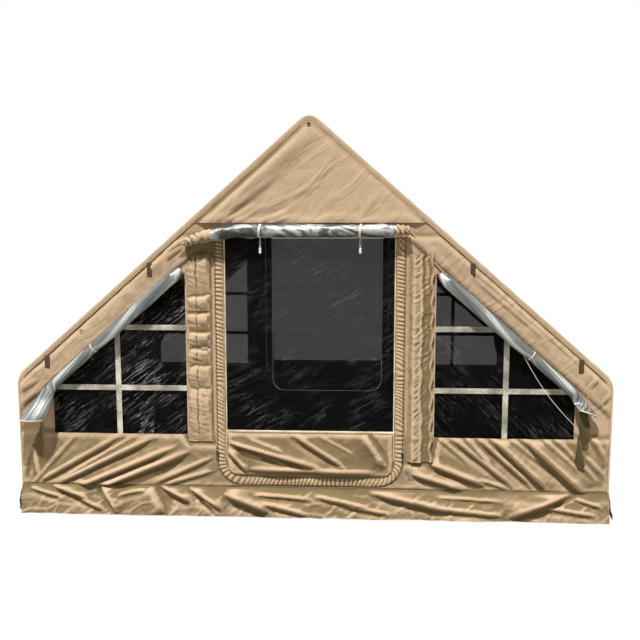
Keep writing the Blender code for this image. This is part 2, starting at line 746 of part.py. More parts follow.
def curtain_roll():
    """The door curtain, rolled up and pinched by its ties."""
    half_tie = TIE_WIDTH / 2
    places = {CURTAIN_LEFT_END, CURTAIN_RIGHT_END}
    places |= {tie + move for tie in CURTAIN_TIE_PLACES for move in (-half_tie, 0.0, half_tie)}
    steps = round((CURTAIN_RIGHT_END - CURTAIN_LEFT_END) / ROLL_STEP)
    for i in range(1, steps):
        place = CURTAIN_LEFT_END + i * (CURTAIN_RIGHT_END - CURTAIN_LEFT_END) / steps
        if min(abs(place - tie) for tie in CURTAIN_TIE_PLACES) > TIE_WIDTH:
            places.add(place)
    rings = []
    for x in sorted(places):
        y, z = curtain_middle(x)
        rings.append([(x, y + dy, z + dz) for dy, dz in circle(curtain_radius(x), curtain_radius(x))])
    return loft(rings)


def circle(across, along, sides=ROLL_SIDES):
    """The points of an ellipse about the origin."""
    angles = [2 * math.pi * i / sides for i in range(sides)]
    return [(across * math.cos(a), along * math.sin(a)) for a in angles]


def cover_section(distance):
    """The rolled cover's half width and half thickness at a distance from its top end."""
    opened = max(0.0, (distance - COVER_LENGTH + COVER_FLARE_LENGTH) / COVER_FLARE_LENGTH)
    closed = min(1.0, distance / COVER_TOP_TAPER)
    near = max(0.0, 1.0 - abs(distance - COVER_LENGTH * COVER_TIE_SHARE) / COVER_PINCH_LENGTH)
    radius = COVER_TOP_RADIUS + (COVER_RADIUS - COVER_TOP_RADIUS) * closed - COVER_PINCH * near
    width = radius + (COVER_FLARE_HALF_WIDTH - radius) * opened
    return width, radius + (COVER_FLARE_HALF_THICKNESS - radius) * opened


def window_cover(sign):
    """A window's cover, rolled along the slanted edge and flared open at its low end."""
    top = Vector((COVER_TOP_X, roof_height(COVER_TOP_X, WINDOW_ROOF_INSET)))
    down = Vector((math.cos(PITCH), -math.sin(PITCH)))
    across = Vector((math.sin(PITCH), math.cos(PITCH)))
    steps = round(COVER_LENGTH / ROLL_STEP)
    rings = []
    for i in range(steps + 1):
        distance = COVER_LENGTH * i / steps
        width, depth = cover_section(distance)
        middle = top + down * distance
        ring = []
        for out, wide in circle(depth, width):
            spot = middle + across * wide
            ring.append((sign * spot.x, out - depth - TAPE_LAYER - GAP, spot.y))
        rings.append(ring)
    return loft(rings)


def window_tape(sign):
    """The reflective tapes across a window, one upright and two level, tucked under its cover."""
    half = WINDOW_TAPE_WIDTH / 2
    inner, outer = WINDOW_INNER_X + GAP, WINDOW_OUTER_X - GAP
    left, right = WINDOW_TAPE_X - half, WINDOW_TAPE_X + half
    tuck_inset = WINDOW_ROOF_INSET - WINDOW_TAPE_TUCK
    top = roof_height(WINDOW_TAPE_X, tuck_inset) + WINDOW_TAPE_TOP_RISE
    low = WINDOW_BOTTOM + (top - WINDOW_BOTTOM) * WINDOW_TAPE_LOW_SHARE
    (low_under, low_over), (top_under, top_over) = ((z - half, z + half) for z in (low, top))
    outline = [
        (left, WINDOW_BOTTOM + GAP),
        (right, WINDOW_BOTTOM + GAP),
        (right, low_under),
        (outer, low_under),
        (outer, low_over),
        (right, low_over),
        (right, top_over),
        (inner, top_over),
        (inner, top_under),
        (left, top_under),
        (left, low_over),
        (inner, low_over),
        (inner, low_under),
        (left, low_under),
    ]
    shape = plate([(sign * x, z) for x, z in outline], WINDOW_TAPE_THICKNESS, front=-TAPE_LAYER)
    bmesh.ops.bisect_plane(
        shape,
        geom=[*shape.verts, *shape.edges, *shape.faces],
        plane_co=(0.0, 0.0, roof_height(0.0, tuck_inset)),
        plane_no=(sign * math.sin(PITCH), 0.0, math.cos(PITCH)),
        clear_outer=True,
    )
    bmesh.ops.holes_fill(shape, edges=[edge for edge in shape.edges if edge.is_boundary])
    return shape


def build_door(name, end, finish):
    """A net door with a cloth kick panel, both hung from the door's top edge."""
    hinge = (0.0, CLOTH / 2, DOOR_TOP)
    net = [
        (-DOOR_HALF_WIDTH, KICK_PANEL_TOP + GAP - DOOR_TOP),
        (DOOR_HALF_WIDTH, KICK_PANEL_TOP + GAP - DOOR_TOP),
        (DOOR_HALF_WIDTH, 0.0),
        (-DOOR_HALF_WIDTH, 0.0),
    ]
    mesh = mesh_of(f"{name}_door_net", plate(net, NET, front=-NET / 2))
    place_object(f"{name}_door_net", mesh, finish["net"], end, hinge)
    kick = rounded_foot(DOOR_HALF_WIDTH, DOOR_BOTTOM, KICK_PANEL_TOP, DOOR_CORNER_RADIUS)
    kick = [(x, z - DOOR_TOP) for x, z in kick]
    mesh = mesh_of(f"{name}_kick_panel", plate(kick, FLAP_CLOTH, front=-FLAP_CLOTH / 2))
    place_object(f"{name}_kick_panel", mesh, finish["canvas"], end, hinge)
    mesh = mesh_of(f"{name}_door_zip", zip_band())
    place_object(f"{name}_door_zip", mesh, finish["zip"], end)


def build_door_fittings(name, end, finish, turn):
    """Sliders and storm flaps on both sides of a door. turn is -1 on the end turned round."""
    slider_x = DOOR_HALF_WIDTH + ZIP_BAND - SLIDER_INSET
    slider_y = -ZIP_PROUD - GAP - SLIDER_THICKNESS / 2
    hinge_y = -FLAP_CLOTH / 2 - GAP
    bottoms = {"left": STORM_FLAP_LEFT_BOTTOM, "right": STORM_FLAP_RIGHT_BOTTOM}
    for side, sign in SIDES.items():
        local = sign * turn
        piece = f"{name}_zip_slider_{side}"
        at = (local * slider_x, slider_y, SLIDER_LOW)
        place_object(piece, mesh_of(piece, zip_slider()), finish["slider"], end, at)
        piece = f"{name}_storm_flap_{side}"
        at = (local * STORM_HINGE_X, hinge_y, 0.0)
        mesh = mesh_of(piece, storm_flap(local, bottoms[side]), smooth=True)
        place_object(piece, mesh, finish["canvas"], end, at)


def build_curtain(name, end, finish, turn):
    """The rolled door curtain with its two ties and, on the front, their toggles."""
    mesh = mesh_of(f"{name}_curtain_roll", curtain_roll(), smooth=True)
    place_object(f"{name}_curtain_roll", mesh, finish["silver"], end)
    for x in CURTAIN_TIE_PLACES:
        side = "right" if x * turn > 0 else "left"
        y, z = curtain_middle(x)
        inner = curtain_radius(x) + TIE_CLEARANCE
        band = mesh_of(f"{name}_curtain_tie_{side}", ring_band(inner, TIE_THICKNESS, TIE_WIDTH))
        place_object(f"{name}_curtain_tie_{side}", band, finish["white"], end, (x, y, z))
        if name == "front":
            under = z - inner - TIE_THICKNESS - GAP - TOGGLE_CORD_RADIUS
            mesh = mesh_of(f"front_toggle_{side}", toggle(), smooth=True)
            place_object(f"front_toggle_{side}", mesh, finish["white"], end, (x, y, under))


def toggle():
    """A toggle on its short elastic loop, round the point that it hangs by."""
    waist = -TOGGLE_CORD_LENGTH
    foot = waist - TOGGLE_LENGTH
    dome = arc((0.0, 0.0), TOGGLE_CORD_RADIUS, math.pi / 2, 0.0, DOME_STEPS)
    profile = [
        *dome,
        (TOGGLE_CORD_RADIUS, waist),
        (TOGGLE_RADIUS - TOGGLE_CHAMFER, waist),
        (TOGGLE_RADIUS, waist - TOGGLE_CHAMFER),
        (TOGGLE_RADIUS, foot + TOGGLE_CHAMFER),
        (TOGGLE_RADIUS - TOGGLE_CHAMFER, foot),
        (0.0, foot),
    ]
    return turned(profile)


def build_windows(name, end, finish, turn):
    """Net, cross tape and rolled cover of the two windows of a gable."""
    for side, sign in SIDES.items():
        local = sign * turn
        net = plate(window_outline(local, -GAP), NET)
        mesh = mesh_of(f"{name}_window_net_{side}", net)
        place_object(f"{name}_window_net_{side}", mesh, finish["net"], end)
        mesh = mesh_of(f"{name}_window_tape_{side}", window_tape(local))
        place_object(f"{name}_window_tape_{side}", mesh, finish["tape"], end)
        mesh = mesh_of(f"{name}_window_cover_{side}", window_cover(local), smooth=True)
        place_object(f"{name}_window_cover_{side}", mesh, finish["silver"], end)


def build_guy_tabs(end, finish):
    """The webbing tabs that hang on the front roof hems, two on each side."""
    front = -FLAP_LAYER - GAP - GUY_TAB_THICKNESS
    half = GUY_TAB_WIDTH / 2
    for side, sign in SIDES.items():
        for level, share in GUY_TAB_SHARES.items():
            head = roof_height(HALF_WIDTH * share, ROOF_HEM * GUY_TAB_HEM_SHARE)
            middle = sign * HALF_WIDTH * share
            outline = [
                (middle - half, head),
                (middle - half, head - GUY_TAB_LENGTH),
                (middle + half, head - GUY_TAB_LENGTH),
                (middle + half, head),
            ]
            piece = f"front_guy_tab_{level}_{side}"
            mesh = mesh_of(piece, plate(outline, GUY_TAB_THICKNESS, front=front))
            place_object(piece, mesh, finish["webbing"], end)


def build_gable(name, end, finish, turn):
    """Everything that one gable end carries."""
    mesh = mesh_of(f"{name}_wall", gable_wall())
    place_object(f"{name}_wall", mesh, finish["canvas"], end)
    mesh = mesh_of(f"{name}_gable_flap", gable_flap(), smooth=True)
    place_object(f"{name}_gable_flap", mesh, finish["canvas"], end)
    build_door(name, end, finish)
    build_door_fittings(name, end, finish, turn)
    build_curtain(name, end, finish, turn)
    build_windows(name, end, finish, turn)


def main():
    """Builds the tent."""
    clear_scene()
    finish = make_finishes()
    ends = {
        "front": make_empty("front_end", (0.0, -HALF_LENGTH, 0.0)),
        "rear": make_empty("rear_end", (0.0, HALF_LENGTH, 0.0), math.pi),
    }
    build_air_frame(ends, finish)
    build_valve(finish)
    build_roof(finish)
    build_side_walls(finish)
    build_groundsheet(finish)
    build_skirts(ends, finish)
    for name, end in ends.items():
        build_gable(name, end, finish, 1 if name == "front" else -1)
    build_guy_tabs(ends["front"], finish)


main()
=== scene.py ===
"""Looks of an inflatable canvas tent, built in cloth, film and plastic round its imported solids."""

import logging
import math
from dataclasses import dataclass, field, replace
from enum import Enum
from typing import Callable, Iterable, Sequence

import bmesh
import bpy
import numpy as np
from mathutils import Matrix, Vector


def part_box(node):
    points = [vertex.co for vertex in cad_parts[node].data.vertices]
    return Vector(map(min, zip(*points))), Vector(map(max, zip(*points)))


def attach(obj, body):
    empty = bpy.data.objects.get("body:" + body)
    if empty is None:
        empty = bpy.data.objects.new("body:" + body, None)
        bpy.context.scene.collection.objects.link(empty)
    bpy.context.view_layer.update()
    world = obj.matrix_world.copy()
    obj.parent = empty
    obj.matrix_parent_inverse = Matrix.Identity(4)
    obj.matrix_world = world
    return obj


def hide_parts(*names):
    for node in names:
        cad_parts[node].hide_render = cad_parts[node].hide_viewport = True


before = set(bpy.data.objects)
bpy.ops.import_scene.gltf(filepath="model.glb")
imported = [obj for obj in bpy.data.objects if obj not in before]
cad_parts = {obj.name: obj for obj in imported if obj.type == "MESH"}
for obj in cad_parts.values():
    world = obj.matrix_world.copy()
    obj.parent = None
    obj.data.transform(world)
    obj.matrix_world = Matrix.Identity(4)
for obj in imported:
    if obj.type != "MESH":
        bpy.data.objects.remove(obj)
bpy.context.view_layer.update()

LOG = logging.getLogger("tent")
Array = np.ndarray
Point = tuple[float, float]
Base = Callable[[Array, Array], tuple[Array, Array]]
Field = Callable[[Array, Array], Array]
Tree = bpy.types.NodeTree
Node = bpy.types.Node


# The tent's own sizes, in metres


@dataclass(frozen=True)
class TentSizes:
    """The canopy's line: upright sides, round eaves and straight slopes up to a round ridge."""

    width: float = 3.0
    length: float = 2.1
    ridge: float = 2.03
    eave: float = 0.72
    eave_radius: float = 0.11
    ridge_radius: float = 0.06
    tub: float = 0.145
    cloth: float = 0.004
    gap: float = 0.0003
    hem: float = 0.05
    lip: float = 0.024

    @property
    def half_width(self) -> float:
        """Half the width across the gable."""
        return self.width / 2

    @property
    def half_length(self) -> float:
        """Half the length from gable to gable."""
        return self.length / 2

    @property
    def pitch(self) -> float:
        """The angle of the slopes."""
        return math.atan2(self.ridge - self.eave, self.half_width)

    def roof_height(self, x: float, inset: float = 0.0) -> float:
        """The height of the roof line, moved inwards, at a distance from the middle."""
        return self.ridge - inset / math.cos(self.pitch) - abs(x) * math.tan(self.pitch)

    def roof_x(self, z: float, inset: float = 0.0) -> float:
        """The distance from the middle at which the roof line, moved inwards, has a height."""
        return (self.ridge - inset / math.cos(self.pitch) - z) / math.tan(self.pitch)

    def inset(self, u: Array, v: Array) -> Array:
        """How far points of the gable lie inside the roof line."""
        return (self.ridge - v - np.abs(u) * math.tan(self.pitch)) * math.cos(self.pitch)

    def eave_centre(self) -> Point:
        """The middle of the right eave's arc."""
        x = self.half_width - self.eave_radius
        return x, self.roof_height(x, self.eave_radius)

    def line(self, inset: float, steps: int = 10) -> list[Point]:
        """The right half of the canopy's line, from the eave seam up to the ridge."""
        normal = math.pi / 2 - self.pitch
        eave = arc(self.eave_centre(), self.eave_radius - inset, 0.0, normal, steps)
        top = (0.0, self.roof_height(0.0, self.ridge_radius))
        return eave + arc(top, self.ridge_radius - inset, normal, math.pi / 2, steps)


@dataclass(frozen=True)
class DoorSizes:
    """The doorway and what hangs round it."""

    half_width: float = 0.428
    bottom: float = 0.208
    top: float = 1.41996
    corner: float = 0.09
    kick_top: float = 0.445
    zip_band: float = 0.05
    slider_low: float = 0.33
    flap_x: float = 0.4915
    flap_width: float = 0.12
    flap_top: float = 1.345


@dataclass(frozen=True)
class WindowSizes:
    """A window, with its upright edges and the top that follows the roof."""

    inner: float = 0.625
    outer: float = 1.318
    foot: float = 0.425
    roof_inset: float = 0.176
    tape: float = 0.027
    tape_x: float = 0.97497
    tape_low: float = 0.66499
    tape_high: float = 0.97421


# Small helpers


def arc(centre: Point, radius: float, start: float, end: float, steps: int) -> list[Point]:
    """The points of an arc, both ends included."""
    angles = [start + (end - start) * i / steps for i in range(steps + 1)]
    return [(centre[0] + radius * math.cos(a), centre[1] + radius * math.sin(a)) for a in angles]


def unit(share: Array) -> Array:
    """A share held between 0 and 1."""
    return np.clip(share, 0.0, 1.0)


def eased(share: Array) -> Array:
    """A share held between 0 and 1, with soft ends."""
    held = unit(share)
    return held * held * (3.0 - 2.0 * held)


def bell(away: Array, width: float) -> Array:
    """A bell curve, 1 in its middle, at distances from there."""
    return np.exp(-((away / width) ** 2))


def half_round(place: Array, middle: float, half: float) -> Array:
    """The height of a half round strip at places across it, 1 along its middle."""
    across = np.clip((place - middle) / half, -1.0, 1.0)
    return np.sqrt(np.maximum(0.0, 1.0 - across**2))


def columns(*parts: Array | float) -> Array:
    """Rows of places or ways from their x, y and z, each an array or one number."""
    return np.column_stack(np.broadcast_arrays(*parts))


def outwards(u: Array) -> Array:
    """The way out of a gable's wall, for every point."""
    return np.tile((0.0, -1.0, 0.0), (len(u), 1))


def linear(colour: str) -> tuple[float, float, float, float]:
    """Turns an sRGB hex colour into linear light."""
    channels = [int(colour[i : i + 2], 16) / 255 for i in (1, 3, 5)]
    light = [c / 12.92 if c <= 0.04045 else ((c + 0.055) / 1.055) ** 2.4 for c in channels]
    return (light[0], light[1], light[2], 1.0)


def add_object(name: str, data: bpy.types.ID) -> bpy.types.Object:
    """Puts an object of a mesh, curve, lamp or lens into the scene."""
    thing = bpy.data.objects.new(name, data)
    bpy.context.scene.collection.objects.link(thing)
    return thing


def plug(tree: Tree, node: Node, inputs: dict) -> None:
    """Gives a node's inputs, by name or number, a value or a link from a socket each."""
    for key, value in inputs.items():
        if isinstance(value, bpy.types.NodeSocket):
            tree.links.new(value, node.inputs[key])
        else:
            node.inputs[key].default_value = value


def add_node(tree: Tree, kind: str, inputs: dict | None = None, **settings) -> Node:
    """Adds a node of a type, with its settings, its values and its links."""
    node = tree.nodes.new(kind)
    for name, value in settings.items():
        setattr(node, name, value)
    plug(tree, node, inputs or {})
    return node


def maths(tree: Tree, operation: str, *values):
    """The result of an operation on numbers or sockets."""
    return add_node(tree, "ShaderNodeMath", dict(enumerate(values)), operation=operation).outputs[0]


def noise(tree: Tree, pattern, scale: float, **more: float):
    """The height of a noise on a pattern, with its detail, roughness and distortion by name."""
    return add_node(tree, "ShaderNodeTexNoise", {"Vector": pattern, "Scale": scale, **more}).outputs["Fac"]


def ranged(tree: Tree, value, low: float, high: float, start: float = 0.0, end: float = 1.0):
    """A value taken from the run between start and end to the run between low and high."""
    inputs = {"Value": value, "From Min": start, "From Max": end, "To Min": low, "To Max": high}
    return add_node(tree, "ShaderNodeMapRange", inputs).outputs[0]


def mixed(tree: Tree, factor, under, over):
    """The colour between two, by a factor."""
    return add_node(tree, "ShaderNodeMix", {0: factor, 6: under, 7: over}, data_type="RGBA").outputs[2]


def toned(tree: Tree, factor, *stops: tuple[float, str]):
    """The colour that a factor has on a ramp of stops, each a place and a hex colour."""
    ramp = add_node(tree, "ShaderNodeValToRGB", {0: factor})
    elements = ramp.color_ramp.elements
    while len(elements) < len(stops):
        elements.new(1.0)
    for element, (place, colour) in zip(elements, stops):
        element.position = place
        element.color = linear(colour)
    return ramp.outputs["Color"]


def bump(tree: Tree, height, strength: float, distance: float, under=None):
    """Adds a bump over the one under it and returns its normal."""
    inputs = {"Height": height, "Strength": strength, "Distance": distance}
    if under is not None:
        inputs["Normal"] = under
    return add_node(tree, "ShaderNodeBump", inputs).outputs["Normal"]


def cloth_pattern(tree: Tree):
    """The places on the cloth's flat pattern, in metres."""
    return add_node(tree, "ShaderNodeUVMap", uv_map="cloth").outputs["UV"]


def layer(tree: Tree, name: str):
    """A value that the cloth's points carry."""
    return add_node(tree, "ShaderNodeAttribute", attribute_name=name).outputs["Fac"]


def stretched(tree: Tree, pattern, turn: float, size: Point):
    """The pattern turned and drawn out, so that a noise on it has bumps of a size in metres."""
    inputs = {"Vector": pattern, "Rotation": (0.0, 0.0, turn), "Scale": (*size, 1.0)}
    return add_node(tree, "ShaderNodeMapping", inputs, vector_type="TEXTURE").outputs[0]


def weave(tree: Tree, pattern, thread: float):
    """The height of a plain weave whose threads lie a distance apart."""
    split = add_node(tree, "ShaderNodeSeparateXYZ", {0: pattern})
    turns = [maths(tree, "MULTIPLY", split.outputs[axis], math.pi / thread) for axis in ("X", "Y")]
    return maths(tree, "MULTIPLY", *(maths(tree, "SINE", turn) for turn in turns))


def seen_directly(tree: Tree, path: Node):
    """1 for what the camera sees and for what a gloss shows, and 0 elsewhere."""
    return maths(tree, "MAXIMUM", path.outputs["Is Camera Ray"], path.outputs["Is Glossy Ray"])


class Ripple:
    """Smooth seeded noise, for the small folds of cloth."""

    def __init__(self, seed: int) -> None:
        """Makes the table of heights that the noise runs through."""
        self.table = np.random.default_rng(seed).random((128, 128)) * 2.0 - 1.0

    def at(self, u: Array, v: Array) -> Array:
        """The noise, from -1 to 1, with one bump to each unit of u and v."""
        iu, iv = np.floor(u).astype(int), np.floor(v).astype(int)
        su, sv = eased(u - iu), eased(v - iv)
        a, b = self.table[iu % 128, iv % 128], self.table[(iu + 1) % 128, iv % 128]
        c, d = self.table[iu % 128, (iv + 1) % 128], self.table[(iu + 1) % 128, (iv + 1) % 128]
        near, far = a + (b - a) * su, c + (d - c) * su
        return near + (far - near) * sv

    def rough(self, u: Array, v: Array) -> Array:
        """Three layers of the noise, each finer and turned against the last."""
        return (
            0.6 * self.at(u, v)
            + 0.3 * self.at(1.7 * u + 1.3 * v + 9.0, 1.7 * v - 1.3 * u + 4.0)
            + 0.15 * self.at(4.3 * u - 1.1 * v, 4.3 * v + 1.1 * u)
        )

    def crests(self, u: Array, v: Array) -> Array:
        """Sharp crests between soft hollows, from 0 to 1, as crumpled cloth has."""
        first = 1.0 - np.abs(self.at(u, v))
        second = 1.0 - np.abs(self.at(2.1 * u + 0.9 * v + 5.0, 2.1 * v - 0.9 * u + 7.0))
        return 0.7 * first**3 + 0.3 * second**3


@dataclass(frozen=True)
class Crease:
    """One pulled fold in a sheet: a crest with a soft flank, and a steep one that ends in a hollow."""

    start: Point
    end: Point
    width: float = 0.03
    height: float = 0.012
    pinned: bool = False
    over: bool = False
    steep: float = 0.38
    hollow: float = 0.8

    def at(self, u: Array, v: Array) -> Array:
        """How far the fold lifts the cloth at points of its flat pattern."""
        run = np.subtract(self.end, self.start)
        length = float(np.hypot(*run))
        du, dv = u - self.start[0], v - self.start[1]
        along = (du * run[0] + dv * run[1]) / length**2
        side = (dv * run[0] - du * run[1]) / length
        spread = self.width * (0.45 + 0.55 * unit(along)) if self.pinned else self.width
        under = side * (1.0 if (run[0] >= 0) != self.over else -1.0) < 0.0
        reach = np.abs(side) / spread
        drop = (1.0 + self.hollow) * np.exp(-((reach / self.steep) ** 2)) - self.hollow * np.exp(-(reach**2))
        across = np.where(under, drop, np.exp(-(reach**1.6)))
        ends = eased((along + 0.04) / (0.14 if self.pinned else 0.3)) * eased((1.04 - along) / 0.3)
        return self.height * ends * across


def folds_of(creases: Iterable[Crease], wide: float = 1.0, deep: float = 1.0) -> Field:
    """The field that several folds make together, widened and deepened by factors."""
    several = [replace(c, width=c.width * wide, height=c.height * deep) for c in creases]
    return lambda u, v: sum((crease.at(u, v) for crease in several), np.zeros_like(u))


def creases_of(*rows: tuple) -> list[Crease]:
    """Folds from rows of a start, an end, a width and a height, and the words pinned or over."""
    return [Crease(row[:2], row[2:4], row[4], row[5], "pinned" in row, "over" in row) for row in rows]


class End(Enum):
    """The two gable ends. A gable is built in its own frame, with -Y out of its wall."""

    FRONT = "front"
    REAR = "rear"

    @property
    def matrix(self) -> Matrix:
        """Takes a point of the gable's frame to the tent's."""
        if self is End.FRONT:
            return Matrix.Translation((0.0, -TENT.half_length, 0.0))
        return Matrix.Translation((0.0, TENT.half_length, 0.0)) @ Matrix.Rotation(math.pi, 4, "Z")

    @property
    def turn(self) -> int:
        """-1 on the end that is turned round, whose own left is the tent's right."""
        return 1 if self is End.FRONT else -1


SIDES = {"left": -1, "right": 1}
TENT = TentSizes()
DOOR = DoorSizes()
WINDOW = WindowSizes()


# Finishes


class Finish:
    """A material that is made once and worn by every piece that asks for it."""

    name: str = "finish"

    def make(self) -> bpy.types.Material:
        """The material, built the first time."""
        found = bpy.data.materials.get(self.name)
        if found:
            return found
        material = bpy.data.materials.new(self.name)
        material.use_nodes = True
        tree = material.node_tree
        self.dress(tree, tree.nodes["Principled BSDF"])
        return material

    def dress(self, tree: Tree, shader: Node) -> None:
        """Gives the shader its colours, gloss and bumps."""
        raise NotImplementedError


@dataclass(frozen=True)
class Canvas(Finish):
    """Woven polyester-cotton canvas, dyed khaki: matt, faintly mottled, with its crests painted paler
    (partly wear, partly painted highlight) and its hollows painted darker as painted shade.
    """

    name: str = "khaki_canvas_cloth"
    colour: str = "#BFA78D"
    pale: str = "#D3BEA3"
    dark: str = "#A8916F"
    # hollow is the colour of painted shade in the cloth's hollows, and also the stitches' thread
    hollow: str = "#5C5029"
    crumple: float = 0.32
    thread: float = 0.0016

    def dress(self, tree: Tree, shader: Node) -> None:
        """Mottled dye, painted highlight and wear on crests and painted shade in hollows of the cloth's own
        folds, weave, crumples and stitches.
        """
        pattern, painted_relief = cloth_pattern(tree), layer(tree, "painted_relief")
        mottle = noise(tree, pattern, 7.0, Detail=6.0, Roughness=0.65)
        tones = toned(tree, mottle, (0.25, self.dark), (0.5, self.colour), (0.8, self.pale))
        dyed = mixed(tree, 0.3, linear(self.colour), tones)
        # Crests are painted paler: partly wear, partly painted highlight.
        worn_and_highlit = mixed(tree, ranged(tree, painted_relief, 0.0, 0.3, 0.55, 1.0), dyed, linear(self.pale))
        # Painted shade: hollows between folds, and the shade each piece paints in, darken towards the hollow
        # colour.
        deep = mixed(tree, ranged(tree, painted_relief, 0.0, 0.8, 0.47, 0.03), worn_and_highlit, linear(self.hollow))
        inputs = {
            "Base Color": mixed(tree, self.stitches(tree, pattern), deep, linear(self.hollow)),
            "Roughness": 0.88,
            "Specular IOR Level": 0.25,
            "Sheen Weight": 0.15,
            "Normal": self.surface(tree, pattern),
        }
        plug(tree, shader, inputs)

    def stitches(self, tree: Tree, pattern):
        """A dashed line of sewing 8 mm inside each edge, drawn 2 mm wide so that it shows."""
        away = maths(tree, "ABSOLUTE", maths(tree, "SUBTRACT", layer(tree, "edge"), 0.008))
        line = maths(tree, "LESS_THAN", away, 0.001)
        split = add_node(tree, "ShaderNodeSeparateXYZ", {0: pattern})
        total = maths(tree, "ADD", split.outputs["X"], split.outputs["Y"])
        dash = maths(tree, "GREATER_THAN", maths(tree, "PINGPONG", total, 0.007), 0.0025)
        return maths(tree, "MULTIPLY", maths(tree, "MULTIPLY", line, dash), 0.6)

    def surface(self, tree: Tree, pattern):
        """Threads drawn at 1.6 mm, three times as coarse as real, under crumples of 100 to 260 mm."""
        threads = bump(tree, weave(tree, pattern, self.thread), 0.25, 0.0004)
        drawn_out = stretched(tree, pattern, 0.7, (0.26, 0.10))
        wide = noise(tree, drawn_out, 1.0, Detail=3.0, Roughness=0.45, Distortion=1.0)
        folded = maths(tree, "ABSOLUTE", maths(tree, "SUBTRACT", wide, 0.5))
        return bump(tree, folded, self.crumple, 0.045, threads)


@dataclass(frozen=True)
class SilverCloth(Canvas):
    """The canvas's coated back: a thin silver layer, half glossy and finely crazed along its rolls, with
    painted reflections in its streaks and painted shade in its hollows.
    """

    name: str = "silver_coated_cloth_rolled"
    colour: str = "#626666"
    pale: str = "#B9BEC0"
    dark: str = "#34382F"
    # hollow is the colour of painted shade in the cloth's hollows
    hollow: str = "#2A2D20"
    metal: float = 0.32
    stretch: Point = (0.16, 0.045)
    dent: float = 0.8

    def dress(self, tree: Tree, shader: Node) -> None:
        """Bright and dark streaks that follow the cloth, partly its crazing and partly painted reflections,
        painted shade in its hollows, and a crumpled bump.
        """
        drawn_out = stretched(tree, cloth_pattern(tree), 0.12, self.stretch)
        streak = noise(tree, drawn_out, 1.0, Detail=5.0, Roughness=0.6, Distortion=1.2)
        # Bright and dark streaks, partly the crazed coating and partly painted reflections.
        tones = toned(tree, streak, (0.40, self.dark), (0.5, self.colour), (0.58, self.pale))
        # Painted shade: hollows between the cloth's folds, and each piece's painted shade, darken towards
        # the hollow colour.
        low = ranged(tree, layer(tree, "painted_relief"), 0.0, 0.7, 0.5, 0.0)
        inputs = {
            "Base Color": mixed(tree, low, tones, linear(self.hollow)),
            "Metallic": self.metal,
            "Roughness": ranged(tree, streak, 0.45, 0.25),
            "Normal": bump(tree, streak, self.dent, 0.012),
        }
        plug(tree, shader, inputs)


@dataclass(frozen=True)
class InsectNet(Finish):
    """Black knitted polyester net: dark and see-through, with painted sheen, pale streaks in its colour, on
    its pulled wrinkles.

    Each net has a front and a back face, so that its cover counts twice.
    """

    name: str = "black_insect_net"
    cover: float = 0.555
    tilt: float = 0.5
    streak: str = "#B4B6B8"
    amount: float = 0.2
    strand: Point = (0.30, 0.030)

    def dress(self, tree: Tree, shader: Node) -> None:
        """Fine slanted streaks of painted sheen over black, and a mesh bump drawn at 3 mm in place of 1.2
        mm.
        """
        pattern = cloth_pattern(tree)
        drawn_out = stretched(tree, pattern, self.tilt, self.strand)
        wrinkle = noise(tree, drawn_out, 1.0, Detail=3.0, Roughness=0.6, Distortion=0.5)
        crest = maths(tree, "ABSOLUTE", maths(tree, "SUBTRACT", wrinkle, 0.5))
        # Painted sheen: pale streaks along the wrinkles' crests, in patches.
        line = ranged(tree, crest, 0.0, self.amount, 0.022, 0.0)
        where = ranged(tree, noise(tree, pattern, 5.0, Detail=2.0), 0.05, 1.0, 0.42, 0.62)
        knit = bump(tree, weave(tree, pattern, 0.003), 0.3, 0.0005)
        inputs = {
            "Base Color": mixed(
                tree, maths(tree, "MULTIPLY", line, where), linear("#060708"), linear(self.streak)
            ),
            "Roughness": 0.55,
            "Alpha": self.cover,
            "Specular IOR Level": 0.12,
            "Normal": bump(tree, wrinkle, 0.5, 0.004, knit),
        }
        plug(tree, shader, inputs)


@dataclass(frozen=True)
class FlatTape(Finish):
    """Woven tape, binding or webbing with a ribbed face, pale or dark by its dye."""

    name: str = "reflective_tape_weave"
    colour: str = "#A3A196"
    fleck: str = "#DEDCD2"
    shade: str = "#6C6A5F"
    rib: float = 0.003
    roughness: float = 0.6

    def dress(self, tree: Tree, shader: Node) -> None:
        """Small bright and dark flecks of bead coating over ribs drawn 3 mm apart."""
        pattern = cloth_pattern(tree)
        fleck = noise(tree, pattern, 150.0, Detail=2.0, Roughness=0.8)
        broad = noise(tree, pattern, 9.0, Detail=2.0)
        half = maths(tree, "MULTIPLY", maths(tree, "ADD", fleck, broad), 0.5)
        inputs = {
            "Base Color": toned(tree, half, (0.38, self.shade), (0.5, self.colour), (0.6, self.fleck)),
            "Roughness": self.roughness,
            "Normal": bump(tree, weave(tree, pattern, self.rib), 0.5, 0.0006),
        }
        plug(tree, shader, inputs)


@dataclass(frozen=True)
class Film(Finish):
    """Welded or coated sheet, such as an air beam's sleeve or the floor: smooth, dark, softly shining."""

    name: str = "air_beam_film"
    colour: str = "#4B4F4A"
    pale: str = "#666A63"
    roughness: float = 0.45
    grain: float = 0.004

    def dress(self, tree: Tree, shader: Node) -> None:
        """Scuffs over an even colour, with a fine grid of reinforcing threads under the coating."""
        pattern = cloth_pattern(tree)
        scuff = noise(tree, pattern, 11.0, Detail=7.0, Roughness=0.7)
        threads = bump(tree, weave(tree, pattern, self.grain), 0.3, 0.0004)
        inputs = {
            "Base Color": toned(tree, scuff, (0.35, self.colour), (0.75, self.pale)),
            "Roughness": self.roughness,
            "Normal": bump(tree, scuff, 0.3, 0.01, threads),
        }
        plug(tree, shader, inputs)


